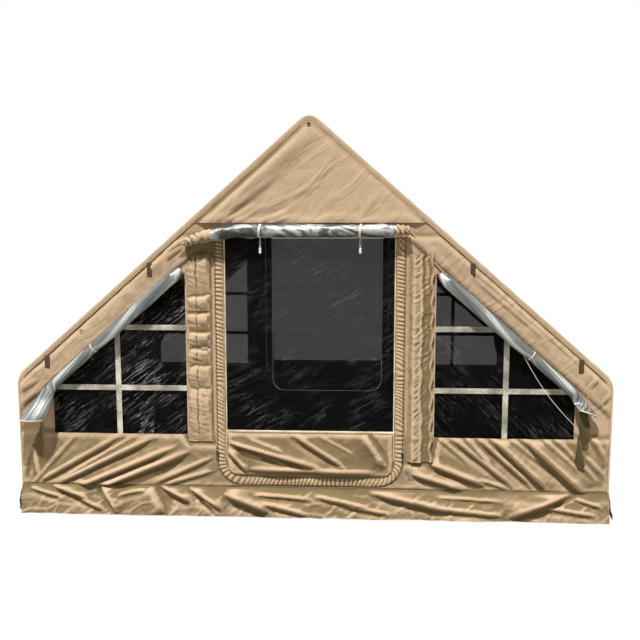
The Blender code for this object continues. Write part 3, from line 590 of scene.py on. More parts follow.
@dataclass(frozen=True)
class Moulded(Finish):
    """Injection-moulded plastic or cast metal: even colour, a fine spark-eroded grain, rubbed paler."""

    name: str = "white_moulded_plastic"
    colour: str = "#E8E6DF"
    rubbed: str = "#F6F5F1"
    roughness: float = 0.42
    metal: float = 0.0

    def dress(self, tree: Tree, shader: Node) -> None:
        """Grain of 1 mm on Object coordinates, with cloudy tone and gloss."""
        place = add_node(tree, "ShaderNodeTexCoord").outputs["Object"]
        cloud = noise(tree, place, 60.0, Detail=4.0)
        inputs = {
            "Base Color": toned(tree, cloud, (0.35, self.colour), (0.7, self.rubbed)),
            "Metallic": self.metal,
            "Roughness": ranged(tree, cloud, self.roughness + 0.1, self.roughness - 0.1),
            "Normal": bump(tree, noise(tree, place, 1000.0, Detail=1.0), 0.2, 0.0002),
        }
        plug(tree, shader, inputs)


@dataclass(frozen=True)
class StudioFloor(Finish):
    """A pale painted floor that keeps a faint shadow and runs out into the white backdrop."""

    name: str = "studio_floor"
    shown: float = 0.86

    def dress(self, tree: Tree, shader: Node) -> None:
        """White to the camera and to gloss, with part of the real light left for the shadow."""
        path = add_node(tree, "ShaderNodeLightPath")
        paint = mixed(tree, path.outputs["Is Camera Ray"], linear("#A19D93"), linear("#F4F4F4"))
        plug(tree, shader, {"Base Color": paint, "Roughness": 0.9})
        share = maths(tree, "MULTIPLY", seen_directly(tree, path), self.shown)
        glow = add_node(tree, "ShaderNodeEmission", {"Color": (1.0, 1.0, 1.0, 1.0), "Strength": 1.0})
        mix = add_node(tree, "ShaderNodeMixShader", {0: share, 1: shader.outputs[0], 2: glow.outputs[0]})
        plug(tree, tree.nodes["Material Output"], {"Surface": mix.outputs[0]})


CANVAS = Canvas()
# Painted shade: the canopy's lining, whose coating lies in shade inside the tent, is given a dark brown
# colour.
INNER_CANVAS_SHADED = Canvas(
    "canvas_inner_painted_shade", colour="#5B5043", pale="#6E6254", dark="#473E34", hollow="#2C2721", crumple=0.3
)
# Painted shade: the hanging straps are canvas given a dark olive colour for the shade they hang in.
SHADED_CANVAS = Canvas(
    "painted_shade_tab_canvas", colour="#4F4629", pale="#5E5432", dark="#3C351F", hollow="#2E2817", crumple=0.3
)
ZIP_TAPE = Canvas("zip_tape_knit", colour="#BCA485", pale="#DFCAA9", dark="#98805C", crumple=0.4)
SILVER = SilverCloth()
SMOOTH_SILVER = SilverCloth(
    "silver_coated_cloth_taut",
    colour="#8A9092",
    pale="#CDD2D4",
    dark="#646A6B",
    stretch=(0.9, 0.06),
    dent=0.4,
)
NET = InsectNet()
# The left net is given far more painted sheen than the right.
LEFT_NET = InsectNet("black_insect_net_pulled", cover=0.58, tilt=0.62, amount=0.9, strand=(0.24, 0.019))
RIGHT_NET = InsectNet("black_insect_net_flat", cover=0.5, tilt=-0.75)
TAPE = FlatTape()
WHITE_BINDING = FlatTape("cream_binding", colour="#D8CDB4", fleck="#EFE6D0", shade="#A6987A")
PIPING = FlatTape("canvas_piping", colour="#C2AB8F", fleck="#CDB89C", shade="#A8916F", roughness=0.85)
ZIP_COIL = FlatTape("zip_coil_nylon", colour="#4A4030", fleck="#6C5F49", shade="#2E271B", rib=0.0025)
WEBBING = FlatTape("olive_webbing", colour="#4C3D29", fleck="#5E4E36", shade="#352A1C", roughness=0.85)
WHITE_TIE = FlatTape("white_tie_tape", colour="#DAD8CF", fleck="#F2F1EC", shade="#A9A698", rib=0.0025)
HOOK_TAPE = FlatTape("hook_and_loop_tape", colour="#8B8577", fleck="#A39D8E", shade="#6A6557", rib=0.0015)
BEAM = Film()
FLOOR_SHEET = Film("floor_sheet_coating", colour="#17181A", pale="#2A2C2E", roughness=0.5, grain=0.006)
WHITE_PLASTIC = Moulded()
VALVE_PLASTIC = Moulded("valve_moulded_plastic", colour="#1D1F21", rubbed="#34373A", roughness=0.4)
DARK_METAL = Moulded("coated_zip_metal", colour="#24231F", rubbed="#5D584C", roughness=0.38, metal=0.8)
EYELET_METAL = Moulded("eyelet_metal", colour="#4B4738", rubbed="#8A8265", roughness=0.35, metal=0.85)
LINED = [CANVAS, INNER_CANVAS_SHADED]
CANVAS_SKIN, ROLLED_SKIN, MESH_SKIN, TAPE_SKIN = 0.0013, 0.0009, 0.0005, 0.0008


# Cloth


class Panel:
    """A piece of cloth on its flat pattern in metres: it is cut, then hung, and given its thickness."""

    def __init__(self, low: Point, high: Point, cell: Point) -> None:
        """Lays out a rectangle of cloth.

        Args:
            low: the lower corner on the pattern.
            high: the upper corner on the pattern.
            cell: the size of the small squares along both sides.
        """
        self.low, self.high = low, high
        size = (high[0] - low[0], high[1] - low[1])
        self.shape = bmesh.new()
        bmesh.ops.create_grid(
            self.shape,
            x_segments=max(1, round(size[0] / cell[0])),
            y_segments=max(1, round(size[1] / cell[1])),
            size=0.5,
        )
        bmesh.ops.scale(self.shape, vec=(size[0], size[1], 1.0), verts=self.shape.verts)
        middle = ((low[0] + high[0]) / 2, (low[1] + high[1]) / 2, 0.0)
        bmesh.ops.translate(self.shape, vec=middle, verts=self.shape.verts)
        corners = [low, (high[0], low[1]), high, (low[0], high[1])]
        self.borders: list[list[Point]] = [corners]
        self.area = size[0] * size[1]

    def score(self, at: Point, normal: Point, clear: bool = False) -> None:
        """Cuts every square that a line crosses, and drops what lies beyond it if told to."""
        everything = [*self.shape.verts, *self.shape.edges, *self.shape.faces]
        bmesh.ops.bisect_plane(
            self.shape, geom=everything, plane_co=(*at, 0.0), plane_no=(*normal, 0.0), clear_outer=clear
        )

    def trim(self, outline: Sequence[Point]) -> "Panel":
        """Cuts the cloth to a convex outline that runs anticlockwise."""
        for i, (x, y) in enumerate(outline):
            before = outline[i - 1]
            self.score(before, (y - before[1], before[0] - x), clear=True)
        self.borders = [list(outline)]
        return self

    def open(self, outline: Sequence[Point]) -> "Panel":
        """Cuts a convex hole whose outline runs anticlockwise."""
        points = np.array(outline)
        low, high = points.min(0) - 0.03, points.max(0) + 0.03
        near = []
        for face in self.shape.faces:
            middle = face.calc_center_median()
            if low[0] < middle.x < high[0] and low[1] < middle.y < high[1]:
                near.append(face)
        for i, (x, y) in enumerate(outline):
            before = outline[i - 1]
            geom = list({*near, *(e for f in near for e in f.edges), *(p for f in near for p in f.verts)})
            cut = bmesh.ops.bisect_plane(
                self.shape, geom=geom, plane_co=(*before, 0.0), plane_no=(y - before[1], before[0] - x, 0.0)
            )
            near = [item for item in cut["geom"] if isinstance(item, bmesh.types.BMFace)]
        middles = np.array([face.calc_center_median()[:2] for face in near])
        inside = np.ones(len(near), bool)
        for i in range(len(points)):
            run, away = points[i] - points[i - 1], middles - points[i - 1]
            inside &= run[0] * away[:, 1] - run[1] * away[:, 0] > 0.0
        gone = [face for face, hit in zip(near, inside) if hit]
        bmesh.ops.delete(self.shape, geom=gone, context="FACES")
        self.borders.append(list(outline))
        return self

    def edge_distance(self, flat: Array) -> Array:
        """How far points of the pattern lie from its nearest cut edge."""
        nearest = np.full(len(flat), 9.0)
        for border in self.borders:
            points = np.array(border)
            for i in range(len(points)):
                start, run = points[i - 1], points[i] - points[i - 1]
                length = max(1e-12, float(run @ run))
                share = unit(((flat - start) @ run) / length)
                away = flat - start - share[:, None] * run
                nearest = np.minimum(nearest, np.hypot(away[:, 0], away[:, 1]))
        return nearest

    def hang(
        self,
        base: Base,
        fold: Field | None = None,
        thickness: float = 0.0014,
        weld: bool = False,
        step: float = 0.02,
        painted_shade: Field | None = None,
        relax: int = 0,
    ) -> "Panel":
        """Puts the cloth where it hangs, folds it and gives it its thickness.

        Args:
            base: takes pattern points to places and to the ways that the cloth faces there.
            fold: how far the cloth stands out at pattern points.
            thickness: the cloth's own.
            weld: joins edges that meet, as on a tube.
            step: how far apart heights are compared to find crests and hollows.
            painted_shade: how much darker the cloth is painted at pattern points, as painted shade in folds,
                under hanging parts and towards the foot.
            relax: how often the cloth inside the edges is eased towards its neighbours.

        Returns:
            The panel.
        """
        shape = self.shape
        self.area = sum(face.calc_area() for face in shape.faces)
        flat = np.array([point.co[:2] for point in shape.verts])
        u, v = flat[:, 0], flat[:, 1]
        place, out = base(u, v)
        # The fold's crests and hollows go to the finishes, which paint crests paler (wear and painted
        # highlight) and hollows darker (painted shade).
        if fold is None:
            rise, painted_relief = np.zeros(len(u)), np.full(len(u), 0.5)
        else:
            rise = fold(u, v)
            beside = ((step, 0.0), (-step, 0.0), (0.0, step), (0.0, -step))
            round_about = sum(fold(u + du, v + dv) for du, dv in beside)
            painted_relief = unit(0.5 + (rise - round_about / 4) * 2.6 / step)
        # Painted shade: each piece darkens its cloth further in folds, under hanging parts and towards the
        # foot.
        if painted_shade is not None:
            painted_relief = unit(painted_relief - painted_shade(u, v))
        place = place + out * rise[:, None]
        edge = self.edge_distance(flat)
        layer = shape.verts.layers.float_vector.new("flat")
        raised = shape.verts.layers.float.new("painted_relief")
        sewn = shape.verts.layers.float.new("edge")
        cloth = shape.loops.layers.uv.new("cloth")
        for point, where, uv, high, away in zip(shape.verts, place, flat, painted_relief, edge):
            point.co = where
            point[layer] = (uv[0], uv[1], 0.0)
            point[raised] = high
            point[sewn] = away
        for face in shape.faces:
            for loop in face.loops:
                loop[cloth].uv = loop.vert[layer].xy
        ways = {point: Vector(way) for point, way in zip(shape.verts, out)}
        shape.normal_update()
        if sum(point.normal.dot(way) for point, way in ways.items()) < 0.0:
            bmesh.ops.reverse_faces(shape, faces=shape.faces[:])
        if weld:
            bmesh.ops.remove_doubles(shape, verts=shape.verts[:], dist=1e-5)
        inner = [point for point in shape.verts if not point.is_boundary] if relax else []
        axes = {f"use_axis_{axis}": True for axis in "xyz"}
        for _ in range(relax):
            bmesh.ops.smooth_vert(shape, verts=inner, factor=0.5, **axes)
        self.thicken(thickness)
        return self

    def thicken(self, thickness: float) -> None:
        """Makes a shell of the sheet, with its back a distance behind it."""
        shape = self.shape
        shape.normal_update()
        behind = [(point, point.co - point.normal * thickness) for point in shape.verts]
        backs = shape.faces[:]
        bmesh.ops.extrude_face_region(shape, geom=backs)
        for point, where in behind:
            point.co = where
        for face in backs:
            face.material_index = 1

    def moved(self, matrix: Matrix) -> "Panel":
        """Takes the hung cloth from its gable's frame to the tent's."""
        bmesh.ops.transform(self.shape, matrix=matrix, verts=self.shape.verts)
        return self

    def show(
        self,
        name: str,
        body: str,
        finishes: Sequence[Finish],
        nodes: Sequence[str] = (),
        slot: str = "canvas",
        held: str | None = "stretched",
        rests_on: Sequence[str] = (),
        sharp: float = 84.0,
    ) -> bpy.types.Object:
        """Makes the piece as the function show does, with the face's finish before the back's.

        Args:
            held: not used.
            rests_on: not used.
        """
        piece = show(name, self.shape, finishes, body, nodes, sharp)
        return piece


def show(
    name: str,
    shape: bmesh.types.BMesh,
    finishes: Sequence[Finish],
    body: str,
    nodes: Sequence[str] = (),
    sharp: float = 40.0,
) -> bpy.types.Object:
    """Makes an object of a bmesh, dresses it and lets it ride.

    Args:
        name: the piece's name.
        shape: its bmesh, which is used up.
        finishes: the materials, in the order of the faces' numbers.
        body: the body that it rides on.
        nodes: the solids that it stands for.
        sharp: the angle in degrees past which an edge stays sharp.

    Returns:
        The object.
    """
    mesh = bpy.data.meshes.new(name)
    shape.to_mesh(mesh)
    shape.free()
    mesh.shade_smooth()
    mesh.set_sharp_from_angle(angle=math.radians(sharp))
    for finish in finishes:
        mesh.materials.append(finish.make())
    piece = add_object(name, mesh)
    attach(piece, body)
    if nodes:
        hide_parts(*nodes)
    LOG.info("%s: %d faces on %s", name, len(mesh.polygons), body)
    return piece


def gable_plane(depth: float) -> Base:
    """The plane of a gable at a depth, with minus Y out of the wall."""

    def base(u: Array, v: Array) -> tuple[Array, Array]:
        return columns(u, depth, v), outwards(u)

    return base


def mirrored(creases: Iterable[Crease]) -> list[Crease]:
    """The same folds on the other half of a gable."""
    return [replace(c, start=(-c.start[0], c.start[1]), end=(-c.end[0], c.end[1])) for c in creases]


# Canopy


@dataclass
class Roof:
    """The two slopes, each one sheet from ridge to eave with a hem turned down over both gables."""

    sag: float = 0.016
    cell: float = 0.022
    flush_from: float = 0.012
    ripple: Ripple = field(default_factory=lambda: Ripple(11))

    def profile(self, sign: int) -> tuple[Array, Array, Array, Array, Array]:
        """Distances, places and outward ways along the line from eave seam to ridge."""
        points = np.array(TENT.line(0.0))
        run = np.diff(points, axis=0)
        steps = np.hypot(run[:, 0], run[:, 1])
        distance = np.concatenate([[0.0], np.cumsum(steps)])
        normal = np.pi / 2 - TENT.pitch
        angles = np.concatenate([np.linspace(0.0, normal, 11), np.linspace(normal, np.pi / 2, 11)])
        return distance, sign * points[:, 0], points[:, 1], sign * np.cos(angles), np.sin(angles)

    def base(self, sign: int) -> Base:
        """Lays a sheet on the slope, and turns both its ends down into the gables' planes."""
        distance, x, z, out_x, out_z = self.profile(sign)
        half = TENT.half_length + TENT.cloth + TENT.gap

        def place(u: Array, v: Array) -> tuple[Array, Array]:
            over = np.maximum(0.0, np.abs(v) - half)
            flush = half - 0.0026 * eased((over - self.flush_from) / 0.010)
            spot = columns(np.interp(u, distance, x), np.clip(v, -flush, flush), np.interp(u, distance, z))
            way = columns(np.interp(u, distance, out_x), 0.0, np.interp(u, distance, out_z))
            spot = spot - way * over[:, None]
            lip = (over > 1e-6)[:, None]
            return spot, np.where(lip, columns(0.0, np.sign(v), 0.0), way)

        return place

    def fold(self, u: Array, v: Array) -> Array:
        """Hollows between the beams, folds pulled from the corners, and a hem that lies in soft waves."""
        total = self.profile(1)[0][-1]
        half = TENT.half_length
        share = unit(u / total)
        inside = eased((half - np.abs(v)) / 0.22)
        hollow = -self.sag * np.sin(np.pi * share) * inside
        pulled = np.zeros_like(u)
        for corner in (-half, half):
            for foot in (0.12, total):
                angle = np.arctan2(np.abs(v - corner), np.abs(u - foot) + 1e-6)
                reach = np.hypot(v - corner, u - foot)
                fade = eased(reach / 0.12) * eased((0.95 - reach) / 0.6)
                wave = np.abs(np.cos(angle * 9.0 + 1.3 * self.ripple.at(reach * 3, angle * 2)))
                pulled += 0.009 * (1.0 - wave) ** 1.5 * fade
        wide = 0.006 * self.ripple.rough(u * 3.0, v * 2.4) * inside
        wide += 0.007 * self.ripple.crests(u * 1.3 + v * 1.1, v * 2.3 - u * 0.8) * inside
        lip = np.abs(v) > half + TENT.cloth
        pucker = 0.0030 * self.ripple.crests(u * 15.0, v * 2.0) * eased((u - 0.02) / 0.05)
        return np.where(lip, pucker, hollow + (pulled + wide) * inside)

    def build(self) -> None:
        """Hangs both slopes."""
        half = TENT.half_length + TENT.cloth + TENT.gap
        total = float(self.profile(1)[0][-1])
        for side, sign in SIDES.items():
            panel = Panel((0.0, -half - TENT.lip), (total, half + TENT.lip), (self.cell, self.cell))
            for line in (-half, half, -half - self.flush_from, half + self.flush_from):
                panel.score((0.0, line), (0.0, 1.0))
            panel.hang(self.base(sign), self.fold, thickness=CANVAS_SKIN)
            panel.show(
                f"roof_sheet_{side}",
                "tent",
                LINED,
                [f"roof_{side}"],
                rests_on=["ridge_beam", f"eave_beam_{side}"],
            )


@dataclass
class SideWall:
    """The upright wall under each eave, a little slack, with a seam where it meets the roof."""

    cell: float = 0.022

    def build(self) -> None:
        """Hangs both side walls."""
        low, high = TENT.tub + 0.0004, TENT.eave_centre()[1] - 0.0004
        for side, sign in SIDES.items():
            ripple = Ripple(21 + sign)

            def base(u: Array, v: Array, sign: int = sign) -> tuple[Array, Array]:
                place = columns(sign * TENT.half_width, u, v)
                return place, np.tile((float(sign), 0.0, 0.0), (len(u), 1))

            def fold(u: Array, v: Array, ripple: Ripple = ripple) -> Array:
                share = (v - low) / (high - low)
                held = np.sin(np.pi * unit(share)) ** 0.6
                ends = eased((TENT.half_length - np.abs(u)) / 0.1)
                slant = ripple.crests(u * 2.6 + v * 2.2, v * 1.1) - 0.35
                return (0.020 * slant + 0.006 * ripple.rough(u * 7, v * 5)) * held * ends

            panel = Panel((-TENT.half_length, low), (TENT.half_length, high), (self.cell, self.cell))
            panel.hang(base, fold)
            panel.show(
                f"side_wall_sheet_{side}",
                "tent",
                LINED,
                [f"side_wall_{side}"],
                rests_on=[f"roof_sheet_{side}"],
            )
            for end in End:
                y = -end.turn * (TENT.half_length + 0.0005)
                x = sign * (TENT.half_width - 0.004)
                points = [(x, y, low + (high - low) * i / 16) for i in range(17)]
                rope(f"corner_piping_{end.value}_{side}", points, 0.010, PIPING, "tent")


@dataclass
class Skirts:
    """Mud skirts round the foot, crushed into creased folds where they meet the ground."""

    head: float = 0.153
    end_flare: float = 0.024
    side_flare: float = 0.075

    def panel(self, half: float, flare: float, creases: Sequence[Crease], seed: int, tuck: float) -> Panel:
        """One skirt in its gable's frame, from the seam on the tub down to the ground."""
        ripple = Ripple(seed)

        def base(u: Array, v: Array) -> tuple[Array, Array]:
            drop = 1.0 - unit(v / self.head)
            wide = flare * (1.0 - tuck * (1.0 - eased((half - np.abs(u)) / 0.3)))
            out = 0.0050 + wide * drop**1.3
            slope = 1.3 * wide / self.head * drop**0.3
            way = columns(0.0, -1.0, slope)
            way /= np.linalg.norm(way, axis=1)[:, None]
            lift = 0.002 + 0.006 * drop * np.abs(ripple.at(u * 9.0, drop))
            return columns(u, -out, np.maximum(v, lift)), way

        drawn = folds_of(creases, wide=1.2, deep=1.5)

        def fold(u: Array, v: Array) -> Array:
            drop = eased((self.head - v) / 0.07)
            small = ripple.crests(u * 9.0 - v * 12.0, v * 18.0 + u * 2.0)
            wide = ripple.at(u * 5.0 + v * 6.0, v * 9.0)
            held = eased((self.head + 0.006 - v) / 0.02)
            full = drop * (0.006 * wide + 0.006 * small + 0.008) + drawn(u, v) * held
            return np.maximum(full, -0.0035 - 0.8 * flare * unit(1.0 - v / self.head) ** 1.3)

        # Painted shade: the whole skirt is darkened, unevenly.
        def painted_shade(u: Array, v: Array) -> Array:
            return 0.37 + 0.08 * ripple.at(u * 7.0, v * 8.0)

        panel = Panel((-half, 0.0), (half, self.head), (0.0065, 0.0055))
        return panel.hang(base, fold, step=0.016, painted_shade=painted_shade, relax=1)

    def front_creases(self) -> list[Crease]:
        """The broad turned-over folds of the front skirt."""
        return creases_of(
            (-1.46, 0.135, -1.28, 0.085, 0.016, 0.010), (-1.34, 0.150, -1.14, 0.085, 0.026, 0.017),
            (-1.20, 0.085, -1.06, 0.030, 0.020, 0.012), (-1.075, 0.150, -0.985, 0.015, 0.036, 0.022),
            (-1.00, 0.100, -0.84, 0.135, 0.018, 0.007), (-0.830, 0.165, -0.750, 0.010, 0.050, 0.024, "over"),
            (-0.790, 0.160, -0.600, 0.075, 0.026, 0.018), (-0.620, 0.150, -0.440, 0.040, 0.026, 0.020),
            (-0.560, 0.090, -0.470, 0.020, 0.014, 0.009), (-0.445, 0.125, -0.190, 0.035, 0.040, 0.026),
            (-0.240, 0.075, 0.000, 0.020, 0.022, 0.014), (-0.300, 0.120, 0.020, 0.095, 0.018, 0.010),
            (0.020, 0.115, 0.310, 0.060, 0.020, 0.012), (0.160, 0.070, 0.420, 0.030, 0.018, 0.010),
            (0.300, 0.140, 0.700, 0.060, 0.030, 0.020), (0.560, 0.073, 1.000, 0.030, 0.022, 0.012),
            (0.620, 0.120, 0.980, 0.100, 0.016, 0.006), (0.985, 0.028, 1.310, 0.150, 0.040, 0.026),
            (1.180, 0.075, 1.440, 0.040, 0.018, 0.010), (1.330, 0.120, 1.470, 0.080, 0.014, 0.008),
        )

    def build(self) -> None:
        """Hangs the four skirts."""
        for end in End:
            creases = self.front_creases()
            creases = creases if end is End.FRONT else mirrored(creases)
            panel = self.panel(TENT.half_width, self.end_flare, creases, 31 if end is End.FRONT else 32, 0.0)
            panel.moved(end.matrix)
            self.finish(panel, f"skirt_sheet_{end.value}", f"skirt_{end.value}")
        for side, sign in SIDES.items():
            half = TENT.half_length - 0.01
            runs = {-0.96: 0.24, -0.61: 0.15, -0.33: 0.30, 0.12: 0.19, 0.44: 0.33, 0.82: 0.16}
            slants = [
                Crease((x, 0.05 + 0.4 * run), (x + run, 0.03), 0.2 * run, 0.05 * run, steep=0.75, hollow=0.0)
                for x, run in runs.items()
            ]
            panel = self.panel(half, self.side_flare, slants, 35 + sign, 0.8)
            turn = Matrix.Translation((sign * TENT.half_width, 0.0, 0.0)) @ Matrix.Rotation(
                sign * math.pi / 2, 4, "Z"
            )
            panel.moved(turn)
            self.finish(panel, f"skirt_sheet_{side}", f"skirt_{side}")

    def finish(self, panel: Panel, name: str, node: str) -> None:
        """Dresses a skirt."""
        panel.show(name, "tent", [CANVAS, CANVAS], [node], held="hung", rests_on=["groundsheet_film"])


@dataclass
class Groundsheet:
    """The floor, one coated sheet whose rim is turned up into a tub."""

    cell: float = 0.03
    skin: float = 0.0012

    def build(self) -> None:
        """Lays the floor."""
        half_x, half_y, rim = TENT.half_width - 0.0012, TENT.half_length - 0.0012, TENT.tub - 0.001
        ripple = Ripple(41)

        def base(u: Array, v: Array) -> tuple[Array, Array]:
            up = np.maximum(np.maximum(0.0, np.abs(u) - half_x), np.maximum(0.0, np.abs(v) - half_y))
            place = columns(np.clip(u, -half_x, half_x), np.clip(v, -half_y, half_y), up + 0.0016)
            past_x, past_y = np.abs(u) > half_x + 1e-6, np.abs(v) > half_y + 1e-6
            in_x, in_y = np.where(past_x, -np.sign(u), 0.0), np.where(past_y, -np.sign(v), 0.0)
            return place, columns(in_x, in_y, 1.0 * ~(past_x | past_y))

        def fold(u: Array, v: Array) -> Array:
            inside = eased((half_x - np.abs(u)) / 0.08) * eased((half_y - np.abs(v)) / 0.08)
            small = 0.003 * (1 + ripple.rough(u * 9, v * 9))
            return inside * (0.006 * ripple.crests(u * 3.0, v * 3.0) + small)

        panel = Panel((-half_x - rim, -half_y - rim), (half_x + rim, half_y + rim), (self.cell, self.cell))
        for x in (-half_x, half_x):
            panel.score((x, 0.0), (1.0, 0.0))
        for y in (-half_y, half_y):
            panel.score((0.0, y), (0.0, 1.0))
        spare = []
        for face in panel.shape.faces:
            middle = face.calc_center_median()
            if abs(middle.x) > half_x and abs(middle.y) > half_y:
                spare.append(face)
        bmesh.ops.delete(panel.shape, geom=spare, context="FACES")
        panel.hang(base, fold, thickness=self.skin, weld=True)
        panel.show(
            "groundsheet_film",
            "tent",
            [FLOOR_SHEET, FLOOR_SHEET],
            ["groundsheet"],
            slot="floor_sheet",
            held="laid",
        )


# Air frame


@dataclass
class Beam:
    """A smooth inflated tube along a route, with domed ends, in its woven sleeve."""

    name: str
    route: list[tuple[float, float, float]]
    radius: float
    side: tuple[float, float, float]
    dome: float = 0.05

    def base(self) -> tuple[Base, float]:
        """Lays a sheet round the route. Returns the base and the route's length."""
        points = np.array(self.route)
        steps = np.linalg.norm(np.diff(points, axis=0), axis=1)
        distance = np.concatenate([[0.0], np.cumsum(steps)])
        ways = np.gradient(points, distance, axis=0)
        ways /= np.linalg.norm(ways, axis=1)[:, None]
        side = np.array(self.side)
        total = float(distance[-1])

        def place(u: Array, v: Array) -> tuple[Array, Array]:
            middle = columns(*(np.interp(u, distance, points[:, i]) for i in range(3)))
            way = columns(*(np.interp(u, distance, ways[:, i]) for i in range(3)))
            way /= np.linalg.norm(way, axis=1)[:, None]
            up = np.cross(way, side)
            angle = v / self.radius
            out = np.cos(angle)[:, None] * side + np.sin(angle)[:, None] * up
            end = unit(1.0 - np.minimum(u, total - u) / self.dome)
            reach = self.radius * np.sqrt(np.maximum(0.0, 1.0 - end**2.4))
            return middle + out * reach[:, None], out

        return place, total

    def build(self) -> None:
        """Blows up the beam."""
        base, total = self.base()
        ripple = Ripple(len(self.name) + 50)
        around = 2 * math.pi * self.radius

        def fold(u: Array, v: Array) -> Array:
            seam = np.minimum(np.abs(v - around / 2), around)
            weld = 0.0018 * bell(seam, 0.006)
            ends = eased(np.minimum(u, total - u) / 0.1)
            return (weld - 0.0022 + 0.0014 * np.cos(2 * np.pi * v / around + ripple.at(u * 6, u))) * ends

        panel = Panel((0.0, 0.0), (total, around), (0.028, around / 40))
        panel.hang(base, fold, thickness=0.0012, weld=True)
        piece = panel.show(
            f"{self.name}_sleeve", "tent", [BEAM, BEAM], [self.name], slot="beam_film", held=None
        )


@dataclass
class AirFrame:
    """Two arch beams, the ridge beam between their crowns and a beam along each eave."""

    arch_radius: float = 0.075
    cross_radius: float = 0.06
    bend: float = 0.15
    eave_inset: float = 0.075

    def arch(self) -> list[tuple[float, float, float]]:
        """The middle line of an arch beam in its gable's frame, from foot to foot."""
        inset = TENT.cloth + TENT.gap + self.arch_radius
        normal = math.pi / 2 - TENT.pitch
        bend_inset = inset + self.bend
        bend_x = TENT.half_width - bend_inset
        right = [(TENT.half_width - inset, TENT.cloth + TENT.gap), (TENT.half_width - inset, 0.2)]
        right += arc((bend_x, TENT.roof_height(bend_x, bend_inset)), self.bend, 0.0, normal, 12)
        right += arc((0.0, TENT.roof_height(0.0, bend_inset)), self.bend, normal, math.pi / 2, 12)
        left = [(-x, z) for x, z in reversed(right)]
        return [(x, inset, z) for x, z in right + left[1:]]

    def build(self) -> None:
        """Sets the five beams."""
        inset = TENT.cloth + TENT.gap + self.arch_radius
        for end in End:
            route = [tuple(end.matrix @ Vector(point)) for point in self.arch()]
            Beam(f"{end.value}_arch_beam", route, self.arch_radius, (0.0, 1.0, 0.0)).build()
        reach = TENT.half_length - inset - self.arch_radius - 0.001
        crown = TENT.roof_height(0.0, inset + self.bend) + self.bend
        runs = {"ridge_beam": (0.0, crown)}
        eave_x = TENT.half_width - self.eave_inset
        for side, sign in SIDES.items():
            runs[f"eave_beam_{side}"] = (sign * eave_x, TENT.roof_height(eave_x, self.eave_inset))
        for name, (x, z) in runs.items():
            route = [(x, -reach + 2 * reach * i / 12, z) for i in range(13)]
            Beam(name, route, self.cross_radius, (1.0, 0.0, 0.0), dome=0.03).build()


# Gable ends


